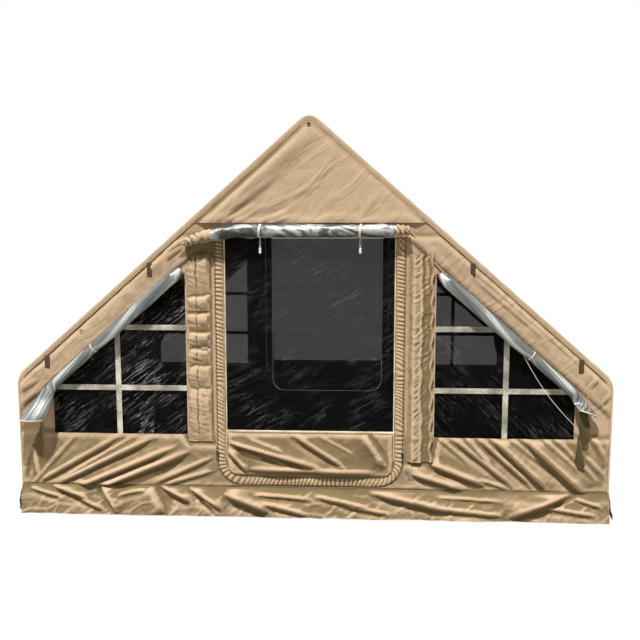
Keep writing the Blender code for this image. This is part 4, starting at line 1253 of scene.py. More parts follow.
@dataclass
class GableWall:
    """The end wall, with its doorway and two windows, pulled into folds from its lower corners."""

    end: End
    cell: float = 0.0085

    def creases(self) -> list[Crease]:
        """The folds under both windows and along the slopes."""
        left = creases_of(
            (-1.435, 0.160, -1.209, 0.415, 0.024, 0.007, "pinned"),
            (-1.400, 0.170, -0.960, 0.425, 0.034, 0.016, "pinned"),
            (-1.330, 0.160, -0.880, 0.425, 0.016, 0.008, "pinned"),
            (-1.310, 0.158, -0.780, 0.420, 0.032, 0.021, "pinned"),
            (-1.215, 0.135, -0.680, 0.372, 0.042, 0.030, "pinned"),
            (-1.110, 0.130, -0.610, 0.345, 0.046, 0.036, "pinned"),
            (-0.820, 0.160, -0.490, 0.310, 0.022, 0.012), (-0.760, 0.155, -0.485, 0.240, 0.016, 0.009),
            (-1.490, 0.183, -1.437, 0.360, 0.018, 0.014), (-1.437, 0.370, -1.412, 0.190, 0.016, 0.012),
        )
        right = creases_of(
            (0.640, 0.430, 0.800, 0.300, 0.012, 0.008), (0.700, 0.440, 1.035, 0.172, 0.024, 0.018),
            (0.775, 0.440, 0.905, 0.295, 0.020, 0.011), (0.830, 0.440, 1.140, 0.165, 0.026, 0.021),
            (0.900, 0.445, 1.200, 0.170, 0.040, 0.034), (0.985, 0.440, 1.230, 0.250, 0.014, 0.009),
            (1.060, 0.440, 1.395, 0.140, 0.042, 0.034), (1.150, 0.440, 1.330, 0.285, 0.012, 0.008),
            (1.215, 0.440, 1.440, 0.215, 0.018, 0.011), (0.560, 0.312, 0.900, 0.182, 0.030, 0.026),
            (0.500, 0.245, 0.790, 0.158, 0.028, 0.024), (0.850, 0.215, 1.010, 0.160, 0.012, 0.009),
            (1.385, 0.480, 1.474, 0.330, 0.024, 0.013), (1.372, 0.345, 1.480, 0.235, 0.024, 0.009),
        )
        eaves = creases_of(
            (-1.497, 0.740, -1.315, 0.838, 0.016, 0.006), (-1.481, 0.700, -1.390, 0.760, 0.014, 0.006),
            (0.760, 1.315, 1.428, 0.735, 0.016, 0.006), (0.800, 1.235, 1.200, 0.900, 0.012, 0.004),
            (1.470, 0.780, 1.380, 0.690, 0.014, 0.006), (-1.260, 0.885, -0.760, 1.320, 0.012, 0.004),
            (-0.760, 1.335, -0.640, 1.405, 0.014, 0.010), (-0.715, 1.320, -0.640, 1.375, 0.012, 0.008),
            (-1.495, 0.640, -1.395, 0.700, 0.014, 0.007), (-1.495, 0.570, -1.400, 0.640, 0.014, 0.007),
            (-1.490, 0.480, -1.410, 0.600, 0.014, 0.006), (1.490, 0.660, 1.400, 0.560, 0.014, 0.006),
        )
        found = left + right + eaves
        return found if self.end is End.FRONT else mirrored(found)

    def free(self, u: Array, v: Array) -> Array:
        """1 where nothing lies over the wall, so that it may stand out, and 0 elsewhere."""
        beside = eased((np.abs(u) - 0.615) / 0.04)
        flap_foot = np.where(u * self.end.turn < 0, 0.385, 0.295)
        low = eased((flap_foot + (0.44 - flap_foot) * beside - v) / 0.03)
        inset = TENT.inset(u, v)
        band = eased((0.142 - inset) / 0.018) * eased((inset - 0.030) / 0.01) * eased((1.44 - v) / 0.03)
        eave = eased((np.abs(u) - 1.37) / 0.05) * eased((v - 0.68) / 0.04) * eased((inset - 0.030) / 0.02)
        return np.maximum(low, np.maximum(band, eave))

    def fold(self, ripple: Ripple) -> Field:
        """The folds, which lie inwards where a flap or a cover rests on the wall."""
        drawn = folds_of(self.creases())

        def field_of(u: Array, v: Array) -> Array:
            free = self.free(u, v)
            ends = eased((TENT.half_width - np.abs(u)) / 0.012)
            foot = eased((v - TENT.tub) / 0.02)
            small = 0.003 * ripple.rough(u * 9.0, v * 9.0)
            small += 0.003 * ripple.crests(u * 6 + v * 5, v * 8 - u * 4)
            out = (drawn(u, v) + small + 0.006) * free
            inwards = (1.0 - free) * (0.003 + 0.002 * ripple.rough(u * 7.0, v * 6.0))
            return (out - inwards) * ends * foot

        return field_of

    def build(self) -> None:
        """Cuts and hangs the wall."""
        inset = TENT.cloth + TENT.gap
        foot = TENT.tub + 0.0004
        half = TENT.half_width - inset
        line = [(half, foot), *TENT.line(0.0048, 4)]
        outline = line + [(-x, z) for x, z in reversed(line)][1:]
        doorway = door_outline(DOOR.zip_band, top=DOOR.top + 0.003)
        panel = Panel((-half, foot), (half, TENT.ridge - 0.0048), (self.cell, self.cell))
        panel.trim(outline)
        for i in range(32):
            panel.score((0.0, foot + self.cell * (i + 0.5)), (0.0, 1.0))
        panel.open(doorway)
        for sign in SIDES.values():
            panel.open(window_outline(sign))
        ripple = Ripple(61 if self.end is End.FRONT else 62)

        # Painted shade: darker towards the foot and under the roof's hem, the shadow under the rolled
        # curtain's left end, and the shadow under the left cover's flare with a lit wedge left out.
        def painted_shade(u: Array, v: Array) -> Array:
            low = eased((0.47 - v) / 0.08) * (0.32 + 0.06 * ripple.at(u * 4.0, v * 4.0))
            under = eased((u + 0.655 - 0.8 * (v - 1.33)) / 0.02) * eased((-0.42 - u) / 0.03)
            shade = 0.80 * under * eased((v - 1.318) / 0.014) * eased((1.46 - v) / 0.02)
            right = -1.374 - 0.35 * np.maximum(0.0, 0.33 - v)
            beside = eased((u + 1.488) / 0.01) * eased((right - u) / 0.01)
            lit = eased(((0.365 - v) * 0.22 - np.abs(u + 1.425)) / 0.006 + 0.5)
            flare = 0.62 * beside * eased((0.488 - v) / 0.008) * eased((v - 0.235) / 0.02) * (1.0 - lit)
            return low + 0.12 * eased((0.142 - TENT.inset(u, v)) / 0.02) + shade + flare

        panel.hang(gable_plane(0.0), self.fold(ripple), thickness=0.0014, step=0.022, painted_shade=painted_shade, relax=2)
        panel.moved(self.end.matrix)
        panel.show(
            f"{self.end.value}_wall_sheet",
            "tent",
            LINED,
            [f"{self.end.value}_wall"],
            rests_on=["roof_sheet_left", "roof_sheet_right"],
        )


def door_outline(grow: float, top: float | None = None, bottom: float | None = None) -> list[Point]:
    """The door's outline with round lower corners, grown outwards, anticlockwise."""
    half, low = DOOR.half_width + grow, (DOOR.bottom if bottom is None else bottom) - grow
    radius = DOOR.corner + grow
    right = arc((half - radius, low + radius), radius, -math.pi / 2, 0.0, 8)
    left = arc((radius - half, low + radius), radius, -math.pi, -math.pi / 2, 8)
    high = DOOR.top if top is None else top
    return [*left, *right, (half, high), (-half, high)]


def window_outline(sign: int, grow: float = 0.0) -> list[Point]:
    """A window's outline, grown outwards, anticlockwise."""
    inner, outer = WINDOW.inner - grow, WINDOW.outer + grow
    foot, inset = WINDOW.foot - grow, WINDOW.roof_inset - grow
    points = [(inner, foot), (outer, foot), (outer, TENT.roof_height(outer, inset))]
    points.append((inner, TENT.roof_height(inner, inset)))
    if sign > 0:
        return points
    return [(-x, z) for x, z in reversed(points)]


@dataclass
class GableFlap:
    """The outer panel over the door, which hangs from the roof's hem in slanted folds."""

    end: End
    hem: float = 1.497
    cell: float = 0.0095

    def creases(self) -> list[Crease]:
        """The wide folds that run down to the left from the apex."""
        found = creases_of(
            (0.030, 1.960, -0.560, 1.470, 0.090, 0.013), (-0.160, 1.730, -0.484, 1.485, 0.020, 0.0060),
            (-0.250, 1.590, -0.446, 1.485, 0.016, 0.0070), (-0.200, 1.590, -0.395, 1.485, 0.013, 0.0055),
            (-0.100, 1.555, -0.270, 1.488, 0.011, 0.0065), (-0.080, 1.530, -0.218, 1.487, 0.010, 0.0055),
            (-0.455, 1.610, -0.530, 1.495, 0.012, 0.0045), (0.140, 1.800, -0.100, 1.600, 0.014, 0.0030),
            (0.060, 1.690, -0.268, 1.547, 0.014, 0.0035), (0.340, 1.640, 0.220, 1.500, 0.018, 0.0035),
            (0.180, 1.860, 0.470, 1.560, 0.026, 0.0055), (0.300, 1.740, 0.560, 1.500, 0.016, 0.0045),
        )
        return found if self.end is End.FRONT else mirrored(found)

    def build(self) -> None:
        """Cuts and hangs the panel."""
        inset = TENT.lip - 0.008
        reach = TENT.roof_x(self.hem, inset)
        head = TENT.roof_height(0.012, inset)
        outline = [(-reach, self.hem), (reach, self.hem), (0.012, head), (-0.012, head)]
        panel = Panel((-reach, self.hem), (reach, head), (self.cell, self.cell))
        panel.trim(outline)
        eyelet = arc((-0.002, 1.970), 0.006, 0.0, 2 * math.pi, 12)[:-1]
        panel.open(eyelet)
        drawn = folds_of([replace(crease, steep=0.55, hollow=0.0) for crease in self.creases()])
        ripple = Ripple(71 if self.end is End.FRONT else 72)

        def fold(u: Array, v: Array) -> Array:
            sides = eased((TENT.inset(u, v) - TENT.lip - 0.002) / 0.04)
            low = 0.006 * eased((1.56 - v) / 0.06)
            small = 0.0022 * ripple.rough(u * 5 + v * 3, v * 4)
            small += 0.0012 * ripple.crests(u * 7 - v * 5, v * 7 + u * 5)
            hem = 0.003 * np.sin(u * 21.0 + 1.5) * eased((1.53 - v) / 0.03)
            return sides * (drawn(u, v) + small + 0.003 + low + hem)

        # Painted shade: a soft dark band that slants down the panel along one of its wide folds.
        def painted_shade(u: Array, v: Array) -> Array:
            across = (u * self.end.turn + 0.26) * 0.64 - (v - 1.72) * 0.77
            return 0.16 * bell(across, 0.05) * eased((1.95 - v) / 0.2)

        panel.hang(gable_plane(-0.0016), fold, thickness=CANVAS_SKIN, step=0.024, painted_shade=painted_shade)
        panel.moved(self.end.matrix)
        panel.show(
            f"{self.end.value}_gable_panel",
            "tent",
            LINED,
            [f"{self.end.value}_gable_flap"],
            held="hung",
            rests_on=["roof_sheet_left", "roof_sheet_right"],
        )


@dataclass
class Doorway:
    """The net door with its kick panel, the zip round it, its sliders and its storm flaps."""

    end: End
    slack: float = 0.0015

    def along(self, depth: float) -> tuple[Base, float]:
        """Lays a strip round the door's edge, from upper left round the foot to upper right."""
        rise = DOOR.top - DOOR.bottom - DOOR.corner
        bend = math.pi / 2 * DOOR.corner
        flat = 2 * (DOOR.half_width - DOOR.corner)
        knots = np.cumsum([0.0, rise, bend, flat, bend, rise])
        angles = [np.pi, np.pi, 1.5 * np.pi, 1.5 * np.pi, 2 * np.pi, 2 * np.pi]
        inner = DOOR.half_width - DOOR.corner
        xs = [-inner, -inner, -inner, inner, inner, inner]
        foot = DOOR.bottom + DOOR.corner
        zs = [DOOR.top, foot, foot, foot, foot, DOOR.top]

        def base(u: Array, v: Array) -> tuple[Array, Array]:
            angle = np.interp(u, knots, angles)
            reach = DOOR.corner + v
            x = np.interp(u, knots, xs) + reach * np.cos(angle)
            z = np.interp(u, knots, zs) + reach * np.sin(angle)
            return columns(x, depth, z), outwards(u)

        return base, float(knots[-1])

    def strip(
        self, name: str, body: str, panel: Panel, base: Base, fold: Field, thickness: float, finish: Finish
    ) -> None:
        """Hangs a narrow strip that has the same finish on both sides and has no solid of its own."""
        panel.hang(base, fold, thickness=thickness).moved(self.end.matrix)
        slot = "zip_tape" if finish is ZIP_COIL else "canvas"
        panel.show(name, body, [finish, finish], slot=slot, held=None)

    def build_zip(self) -> None:
        """The rippled zip tape and the coil that closes along it."""
        name = self.end.value
        base, total = self.along(-0.0004)
        ripple = Ripple(81)

        def pucker(u: Array, v: Array) -> Array:
            return np.abs(np.sin(u * 150.0 + v * 40.0 + 3.0 * ripple.at(u * 10, v * 12))) ** 0.8

        def fold(u: Array, v: Array) -> Array:
            across = np.sin(np.pi * unit(v / DOOR.zip_band))
            return 0.0002 + across * (0.0068 * pucker(u, v) + 0.0010 * ripple.rough(u * 30, v * 40))

        # Painted shade: between the tape's ripples, along its foot under the kick panel, and at its upper
        # left end under the rolled curtain.
        def painted_shade(u: Array, v: Array) -> Array:
            foot = 0.26 * eased((0.50 - np.abs(u - total / 2)) / 0.15)
            return 0.05 + 0.12 * (1.0 - pucker(u, v)) + foot + 0.48 * eased((0.115 - u) / 0.02)

        def teeth(u: Array, v: Array) -> Array:
            return 0.0016 * half_round(v, 0.041, 0.0035) * (0.8 + 0.2 * np.cos(u * 2 * np.pi / 0.01))

        panel = Panel((0.0, 0.0003), (total, DOOR.zip_band - 0.0002), (0.0035, 0.0048))
        panel.hang(base, fold, thickness=0.001, step=0.006, painted_shade=painted_shade).moved(self.end.matrix)
        node, wall = [f"{name}_door_zip"], [f"{name}_wall_sheet"]
        panel.show(f"{name}_zip_tape", "tent", [ZIP_TAPE, INNER_CANVAS_SHADED], node, "zip_tape", rests_on=wall)
        coil = Panel((0.0, 0.0375), (total, 0.0445), (0.005, 0.0014))
        self.strip(f"{name}_zip_coil", "tent", coil, self.along(-0.0030)[0], teeth, 0.001, ZIP_COIL)

    def build_net(self) -> None:
        """The net of the door's leaf."""
        name, half = self.end.value, DOOR.half_width - self.slack
        ripple = Ripple(83)

        def fold(u: Array, v: Array) -> Array:
            return 0.0010 * ripple.rough(u * 5 + v * 3, v * 4)

        net = Panel((-half, DOOR.kick_top), (half, DOOR.top - 0.001), (0.02, 0.02))
        net.hang(gable_plane(0.0015), fold, thickness=MESH_SKIN).moved(self.end.matrix)
        flap = [f"{name}_gable_panel"]
        net.show(f"{name}_door_mesh", f"{name}_door", [NET, NET], [f"{name}_door_net"], "net", "hung", flap)

    def build_kick(self) -> None:
        """The kick panel under the net, drawn into folds."""
        name, half = self.end.value, DOOR.half_width - self.slack
        ripple = Ripple(83)
        drawn = folds_of(
            creases_of(
                (-0.400, 0.385, 0.075, 0.262, 0.044, 0.030, "pinned"),
                (-0.095, 0.440, 0.190, 0.262, 0.028, 0.019), (-0.330, 0.415, -0.120, 0.345, 0.024, 0.008),
                (0.268, 0.450, 0.385, 0.272, 0.034, 0.024, "over"),
                (-0.425, 0.355, -0.315, 0.240, 0.024, 0.020), (-0.340, 0.252, 0.345, 0.240, 0.026, 0.022),
                (-0.260, 0.325, -0.100, 0.265, 0.012, 0.006), (0.040, 0.430, 0.230, 0.330, 0.012, 0.005),
            )
        )

        def fold(u: Array, v: Array) -> Array:
            inside = eased((v - DOOR.bottom) / 0.02) * eased((DOOR.half_width - np.abs(u)) / 0.02)
            inside = inside * eased((DOOR.kick_top - v) / 0.015)
            return inside * (1.15 * drawn(u, v) + 0.010 + 0.0025 * (1 + ripple.rough(u * 9, v * 9)))

        # Painted shade: the whole kick panel is darkened, unevenly.
        def painted_shade(u: Array, v: Array) -> Array:
            return 0.35 + 0.06 * ripple.at(u * 6.0, v * 6.0)

        kick = Panel((-half, DOOR.bottom), (half, DOOR.kick_top), (0.0065, 0.006))
        kick.trim(door_outline(-self.slack, top=DOOR.kick_top, bottom=DOOR.bottom))
        kick.hang(gable_plane(0.0008), fold, thickness=0.0014, painted_shade=painted_shade, relax=2).moved(self.end.matrix)
        net, node = [f"{name}_door_mesh"], [f"{name}_kick_panel"]
        kick.show(f"{name}_kick_cloth", f"{name}_door", LINED, node, "canvas", "hung", net)

    def build_bindings(self) -> None:
        """The cream binding between net and kick panel, and one down each side of the net."""
        leaf, half = f"{self.end.value}_door", DOOR.half_width - self.slack
        low, high = DOOR.kick_top - 0.006, DOOR.kick_top + 0.006

        def piping(u: Array, v: Array) -> Array:
            return 0.002 * half_round(v, DOOR.kick_top, 0.006)

        level = Panel((-half, low), (half, high), (0.012, 0.003))
        plane = gable_plane(-0.0004)
        self.strip(f"{leaf}_binding", leaf, level, plane, piping, TAPE_SKIN, WHITE_BINDING)
        for sign in SIDES.values():
            near, far = sorted((sign * half, sign * (half - 0.006)))
            upright = Panel((near, DOOR.bottom + DOOR.corner), (far, DOOR.top - 0.001), (0.002, 0.02))
            side = "left" if sign * self.end.turn < 0 else "right"

            def edge(u: Array, v: Array, middle: float = (near + far) / 2) -> Array:
                return 0.0014 * half_round(u, middle, 0.003) + 0.0004

            plane = gable_plane(-0.0002)
            self.strip(f"{leaf}_edge_{side}", leaf, upright, plane, edge, TAPE_SKIN, WHITE_BINDING)

    def build_slider(self, side: str) -> None:
        """A zip slider: a cast body with two plates, its bridge and a drilled pull."""
        name = f"{self.end.value}_zip_slider_{side}"
        local = SIDES[side] * self.end.turn
        shape = bmesh.new()
        parts = [
            ((0.013, 0.0016, 0.020), (0.0, 0.0016, 0.0)),
            ((0.013, 0.0016, 0.020), (0.0, -0.0014, 0.0)),
            ((0.004, 0.0036, 0.020), (0.0, 0.0, 0.0)),
            ((0.003, 0.0022, 0.012), (0.0, -0.0026, 0.001)),
        ]
        round_off = {"offset": 0.0006, "segments": 2, "profile": 0.5, "affect": "EDGES", "material": -1}
        for size, at in parts:
            matrix = Matrix.Translation(at) @ Matrix.Diagonal((*size, 1.0))
            made = bmesh.ops.create_cube(shape, size=1.0, matrix=matrix)
            edges = list({edge for point in made["verts"] for edge in point.link_edges})
            bmesh.ops.bevel(shape, geom=edges, **round_off)
        pull = Panel((-0.0038, -0.044), (0.0038, -0.007), (0.0019, 0.0019))
        pull.trim([*arc((0.0, -0.040), 0.0038, -math.pi, 0.0, 8), (0.0030, -0.007), (-0.0030, -0.007)])
        pull.open(arc((0.0, -0.0385), 0.0016, 0.0, 2 * math.pi, 10)[:-1])
        pull.hang(gable_plane(-0.0032), None, thickness=0.0014)
        merged = bpy.data.meshes.new("pull")
        pull.shape.to_mesh(merged)
        pull.shape.free()
        shape.from_mesh(merged)
        bpy.data.meshes.remove(merged)
        for face in shape.faces:
            face.material_index = 0
        at = (local * (DOOR.half_width + DOOR.zip_band - 0.009), -0.0053, DOOR.slider_low)
        bmesh.ops.transform(shape, matrix=self.end.matrix @ Matrix.Translation(at), verts=shape.verts)
        show(f"{name}_cast", shape, [DARK_METAL], name, [name])

    def build_flap(self, side: str) -> None:
        """A storm flap, folded back beside the zip and puckered by its sewing."""
        name = f"{self.end.value}_storm_flap_{side}"
        local = SIDES[side] * self.end.turn
        puffy = side == "left"
        bottom = 0.39 if puffy else 0.30
        ripple = Ripple(91 if puffy else 92)
        knots = [bottom, 0.666, 0.783, 0.870, 0.952, 1.051, 1.142, DOOR.flap_top + 0.02]
        room_at = [0.0, 0.006, 0.0145, 0.016, 0.020, 0.026]
        room_high = [0.003, 0.0085, 0.0092, 0.012, 0.0195, 0.03]

        def base(u: Array, v: Array) -> tuple[Array, Array]:
            wave = 1.0 + 0.045 * np.sin(2 * np.pi * (v - bottom) / 0.105 + 0.8) * u / DOOR.flap_width
            return columns(local * (DOOR.flap_x + u * wave), -0.0016, v), outwards(u)

        def puffs(u: Array, v: Array) -> Array:
            share = unit(u / DOOR.flap_width)
            lean = np.interp(v, [0.4, 1.0, 1.1, 1.3], [-0.02, 0.03, 0.10, 0.34])
            shifted = v + lean * u + 0.008 * ripple.at(v * 9.0, share * 3.0) * (share > 0.6)
            turn = np.interp(shifted, knots, np.arange(len(knots)))
            puff = np.sin(np.pi * (turn - np.floor(turn)) ** 1.9) ** 0.6
            across = np.sin(np.pi * unit(share * 0.80 + 0.16)) ** 0.5
            tall = 0.021 + 0.005 * ripple.at(v * 4.0 + 9.0, share * 3.0)
            fine = ripple.crests(u * 10, v * 34 - u * 8)
            return across * tall * puff * (1.0 - 0.3 * bell(share - 0.61, 0.03)) + 0.004 * fine

        def shelf(u: Array, v: Array) -> Array:
            share = unit(u / DOOR.flap_width)
            border = 0.60 + 0.05 * ripple.at(v * 11.0, 2.0)
            raised = 0.017 * eased((border - share) / 0.10) + 0.014 * bell(share - 0.96, 0.05)
            fine = ripple.crests(u * 8 + v * 12, v * 30 - u * 24)
            return raised + 0.0065 * fine * (1.0 - 0.4 * share) + 0.0015

        def fold(u: Array, v: Array) -> Array:
            tall = eased(u / 0.012) * (puffs(u, v) if puffy else shelf(u, v))
            return np.minimum(tall, np.interp(u, room_at, room_high))

        # Painted shade: the left flap is darkened, most under the rolled curtain at its top; the right flap
        # is darkened, most in the channel near its outer edge.
        def painted_shade(u: Array, v: Array) -> Array:
            share = u / DOOR.flap_width
            channel = eased((share - 0.60) / 0.06) * eased((0.93 - share) / 0.05) * eased((1.22 - v) / 0.12)
            shade = 0.6 * eased((v - 1.300 - 0.012 * np.sin(share * 7.0)) / 0.014)
            return 0.13 + shade if puffy else 0.18 + 0.36 * channel

        panel = Panel((0.0, bottom), (DOOR.flap_width, DOOR.flap_top), (0.0045, 0.0045))
        panel.hang(base, fold, thickness=CANVAS_SKIN, step=0.012, painted_shade=painted_shade).moved(self.end.matrix)
        wall = [f"{self.end.value}_wall_sheet"]
        panel.show(f"{name}_cloth", name, LINED, [name], "canvas", "folded", wall)

    def build(self) -> None:
        """Builds everything round the door."""
        self.build_zip()
        self.build_net()
        self.build_kick()
        self.build_bindings()
        for side in SIDES:
            self.build_slider(side)
            self.build_flap(side)


@dataclass
class Curtain:
    """The door's outer curtain, rolled up over the door and held by two ties."""

    end: End
    radius: float = 0.036
    gathered: float = 0.020
    core: float = 0.006
    left: float = -0.62
    right: float = 0.49
    height: float = 1.458
    cloth: float = 1.02
    plain: Point = (-0.478, 0.423)
    ties: tuple[float, float] = (-0.23968, 0.24995)

    def middle(self, x: Array) -> tuple[Array, Array]:
        """The roll's middle line, which droops towards its left end."""
        rise = 1.0 - (1.0 - unit((x - self.left) / 0.36)) ** 2
        top = TENT.roof_height(self.left, TENT.hem) - 0.0042
        droop = self.height - top + 0.02
        return np.full_like(x, -self.radius - TENT.gap), self.height - droop * (1.0 - rise)

    def reach(self, x: Array) -> Array:
        """The roll's radius, small at its gathered ends and under its ties."""
        share = unit(np.minimum(x - self.left, self.right - x) / 0.11)
        radius = self.gathered + (self.radius - self.gathered) * np.sqrt(share)
        for tie in self.ties:
            radius = radius - 0.0065 * bell(x - tie, 0.024)
        return radius

    def wound(self, v: Array) -> Array:
        """The angle through which the cloth is wound, about eight turns from the core to the free edge."""
        turns = self.cloth / (math.pi * (self.core + self.radius - 0.002))
        return -2 * np.pi * turns * (1.0 - v / self.cloth)

    def base(self, u: Array, v: Array) -> tuple[Array, Array]:
        """Winds the cloth on itself."""
        angle = -0.6 * np.pi + self.wound(v)
        reach = self.core + (self.reach(u) - 0.0025 - self.core) * (v / self.cloth)
        y, z = self.middle(u)
        out = columns(0.0, np.cos(angle), np.sin(angle))
        crush = 1.0 + 0.05 * np.sin(angle * 2 + u * 9.0) + 0.03 * np.cos(angle * 3 - u * 14.0)
        return columns(u, y, z) + out * (reach * crush)[:, None], out

    def build(self) -> None:
        """Rolls the curtain and ties it."""
        name = self.end.value
        ripple = Ripple(101)

        def gather(u: Array, s: Array, c: Array) -> Array:
            return np.abs(np.sin(np.pi * u / 0.027 + 1.8 * ripple.at(u * 14.0, c * 2.0) + 1.4 * s))

        def inside(u: Array) -> Array:
            return eased((np.minimum(u - self.left, self.right - u)) / 0.15)

        def fold(u: Array, v: Array) -> Array:
            angle, ends = self.wound(v), inside(u)
            c, s = np.cos(angle), np.sin(angle)
            long = ripple.crests(u * 4.0 + 2.0 * c, 2.6 * s + 2.0 * c + 7.0)
            crush = ripple.crests(u * 11.0 + 3.0 * s, 3.0 * c + 5.0 * s - u * 5.0)
            slack = 0.010 * bell(u + 0.285, 0.035) * eased((s + 0.1) / 0.8)
            frill = 0.0150 * (gather(u, s, c) - 0.6) * (1.0 - ends)
            return v / self.cloth * (0.0045 * long * ends + 0.0035 * crush * ends - 0.003 + slack + frill)

        # Painted shade: the roll is darker on its underside and in the tucks between the gathers at its
        # ends.
        def painted_shade(u: Array, v: Array) -> Array:
            angle = self.wound(v)
            tucks = 0.34 * (1.0 - inside(u)) * (1.0 - gather(u, np.sin(angle), np.cos(angle)))
            return 0.30 * eased((0.05 - np.sin(angle - 0.6 * np.pi)) / 0.8) + tucks

        panel = Panel((self.left, 0.0), (self.right, self.cloth), (0.0056, 0.0105))
        panel.hang(self.base, fold, thickness=ROLLED_SKIN, painted_shade=painted_shade)
        for face in panel.shape.faces:
            if not self.plain[0] < face.calc_center_median().x < self.plain[1]:
                face.material_index = 2
        panel.moved(self.end.matrix)
        nodes, ties = [f"{name}_curtain_roll"], [f"{name}_curtain_tie_left", f"{name}_curtain_tie_right"]
        finishes = [SILVER, CANVAS, CANVAS]
        panel.show(f"{name}_curtain_rolled", "tent", finishes, nodes, "silver_cloth", "folded", ties)
        for x in self.ties:
            side = "right" if x * self.end.turn > 0 else "left"
            self.build_tie(x, side)
            if self.end is End.FRONT:
                self.build_toggle(side)

    def build_tie(self, x: float, side: str) -> None:
        """A flat tie round the roll, pulled narrow."""
        name = f"{self.end.value}_curtain_tie_{side}"
        spot = np.array([x])
        y, z = (float(part[0]) for part in self.middle(spot))
        radius = float(self.reach(spot)[0]) + 0.0016
        around = 2 * math.pi * radius

        def base(u: Array, v: Array) -> tuple[Array, Array]:
            angle = u / radius
            out = columns(0.0, np.cos(angle), np.sin(angle))
            return columns(x + v + 0.004 * np.sin(angle + 0.6), y, z) + out * radius, out

        def fold(u: Array, v: Array) -> Array:
            return 0.0016 - 0.0008 * np.abs(v) / 0.006 + 0.0004 * np.sin(u * 400)

        panel = Panel((0.0, -0.006), (around, 0.006), (around / 48, 0.003))
        panel.hang(base, fold, thickness=0.0012, weld=True).moved(self.end.matrix)
        panel.show(f"{name}_band", "tent", [WHITE_TIE, WHITE_TIE], [name], "tie_tape", held=None)

    def build_toggle(self, side: str) -> None:
        """A turned toggle on its elastic loop, hanging under the tie."""
        body = f"front_toggle_{side}"
        low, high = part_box(body)
        middle = ((low.x + high.x) / 2, (low.y + high.y) / 2)
        shape = bmesh.new()
        profile = [
            *((0.0, 0.0), (0.0042, 0.0), (0.0058, 0.0012), (0.0064, 0.004)),
            *((0.0064, 0.0095), (0.0052, 0.0115), (0.0052, 0.0165), (0.0064, 0.0185)),
            *((0.0064, 0.024), (0.0056, 0.0268), (0.0036, 0.028), (0.0, 0.028)),
        ]
        points = [shape.verts.new((radius, 0.0, low.z + rise)) for radius, rise in profile]
        edges = [shape.edges.new(pair) for pair in zip(points, points[1:])]
        turned(shape, points + edges, 28)
        bmesh.ops.translate(shape, vec=(*middle, 0.0), verts=shape.verts)
        show(f"{body}_barrel", shape, [WHITE_PLASTIC], body, [body])
        top, waist = high.z, low.z + 0.0255
        points = []
        for i in range(21):
            share = i / 20
            swing = math.sin(math.pi * share) if 0 < i < 20 else 0.0
            across = 0.0035 * math.sin(2 * math.pi * share)
            drop = (top - 0.0016 - waist) * (1.0 - abs(2 * share - 1.0))
            points.append((middle[0] + across, middle[1] - 0.0005 * swing, top - 0.0016 - drop))
        loop = rope(f"{body}_elastic", points, 0.0022, WHITE_TIE, body)


def turned(shape: bmesh.types.BMesh, profile: list, steps: int) -> None:
    """Spins a profile once round the upright axis, as on a lathe."""
    spin = {"axis": (0, 0, 1), "cent": (0, 0, 0), "angle": 2 * math.pi, "steps": steps, "use_merge": True}
    bmesh.ops.spin(shape, geom=profile, **spin)
    bmesh.ops.remove_doubles(shape, verts=shape.verts, dist=1e-5)
    bmesh.ops.recalc_face_normals(shape, faces=shape.faces)


def rope(
    name: str,
    points: Sequence[tuple[float, float, float]],
    diameter: float,
    finish: Finish,
    body: str,
) -> bpy.types.Object:
    """A thin cord along points, as one open curve.

    Args:
        name: the piece's name.
        points: the places that it runs through.
        diameter: its own.
        finish: its finish.
        body: the body that it rides on.

    Returns:
        The object.
    """
    curve = bpy.data.curves.new(name, "CURVE")
    curve.dimensions = "3D"
    curve.bevel_depth = diameter / 2
    curve.bevel_resolution = 2
    curve.use_fill_caps = True
    spline = curve.splines.new("POLY")
    spline.points.add(len(points) - 1)
    for place, point in zip(spline.points, points):
        place.co = (*point, 1.0)
    curve.materials.append(finish.make())
    piece = add_object(name, curve)
    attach(piece, body)
    LOG.info("%s: cord of %d points on %s", name, len(points), body)
    return piece


@dataclass(frozen=True)
class Flare:
    """How a rolled cover falls open at its low end: its section there, and where it sinks to."""

    mouth: float
    outer: float
    inner: float
    shear: float
    cut: float
    aside: float
    fall: float
    lift: float


FLARES = {
    -1: Flare(0.043, 0.150, 0.142, shear=1.0, cut=0.0, aside=-0.026, fall=0.082, lift=0.085),
    1: Flare(0.024, 0.036, 0.024, shear=2.1, cut=0.6, aside=0.0, fall=0.028, lift=0.0),
}


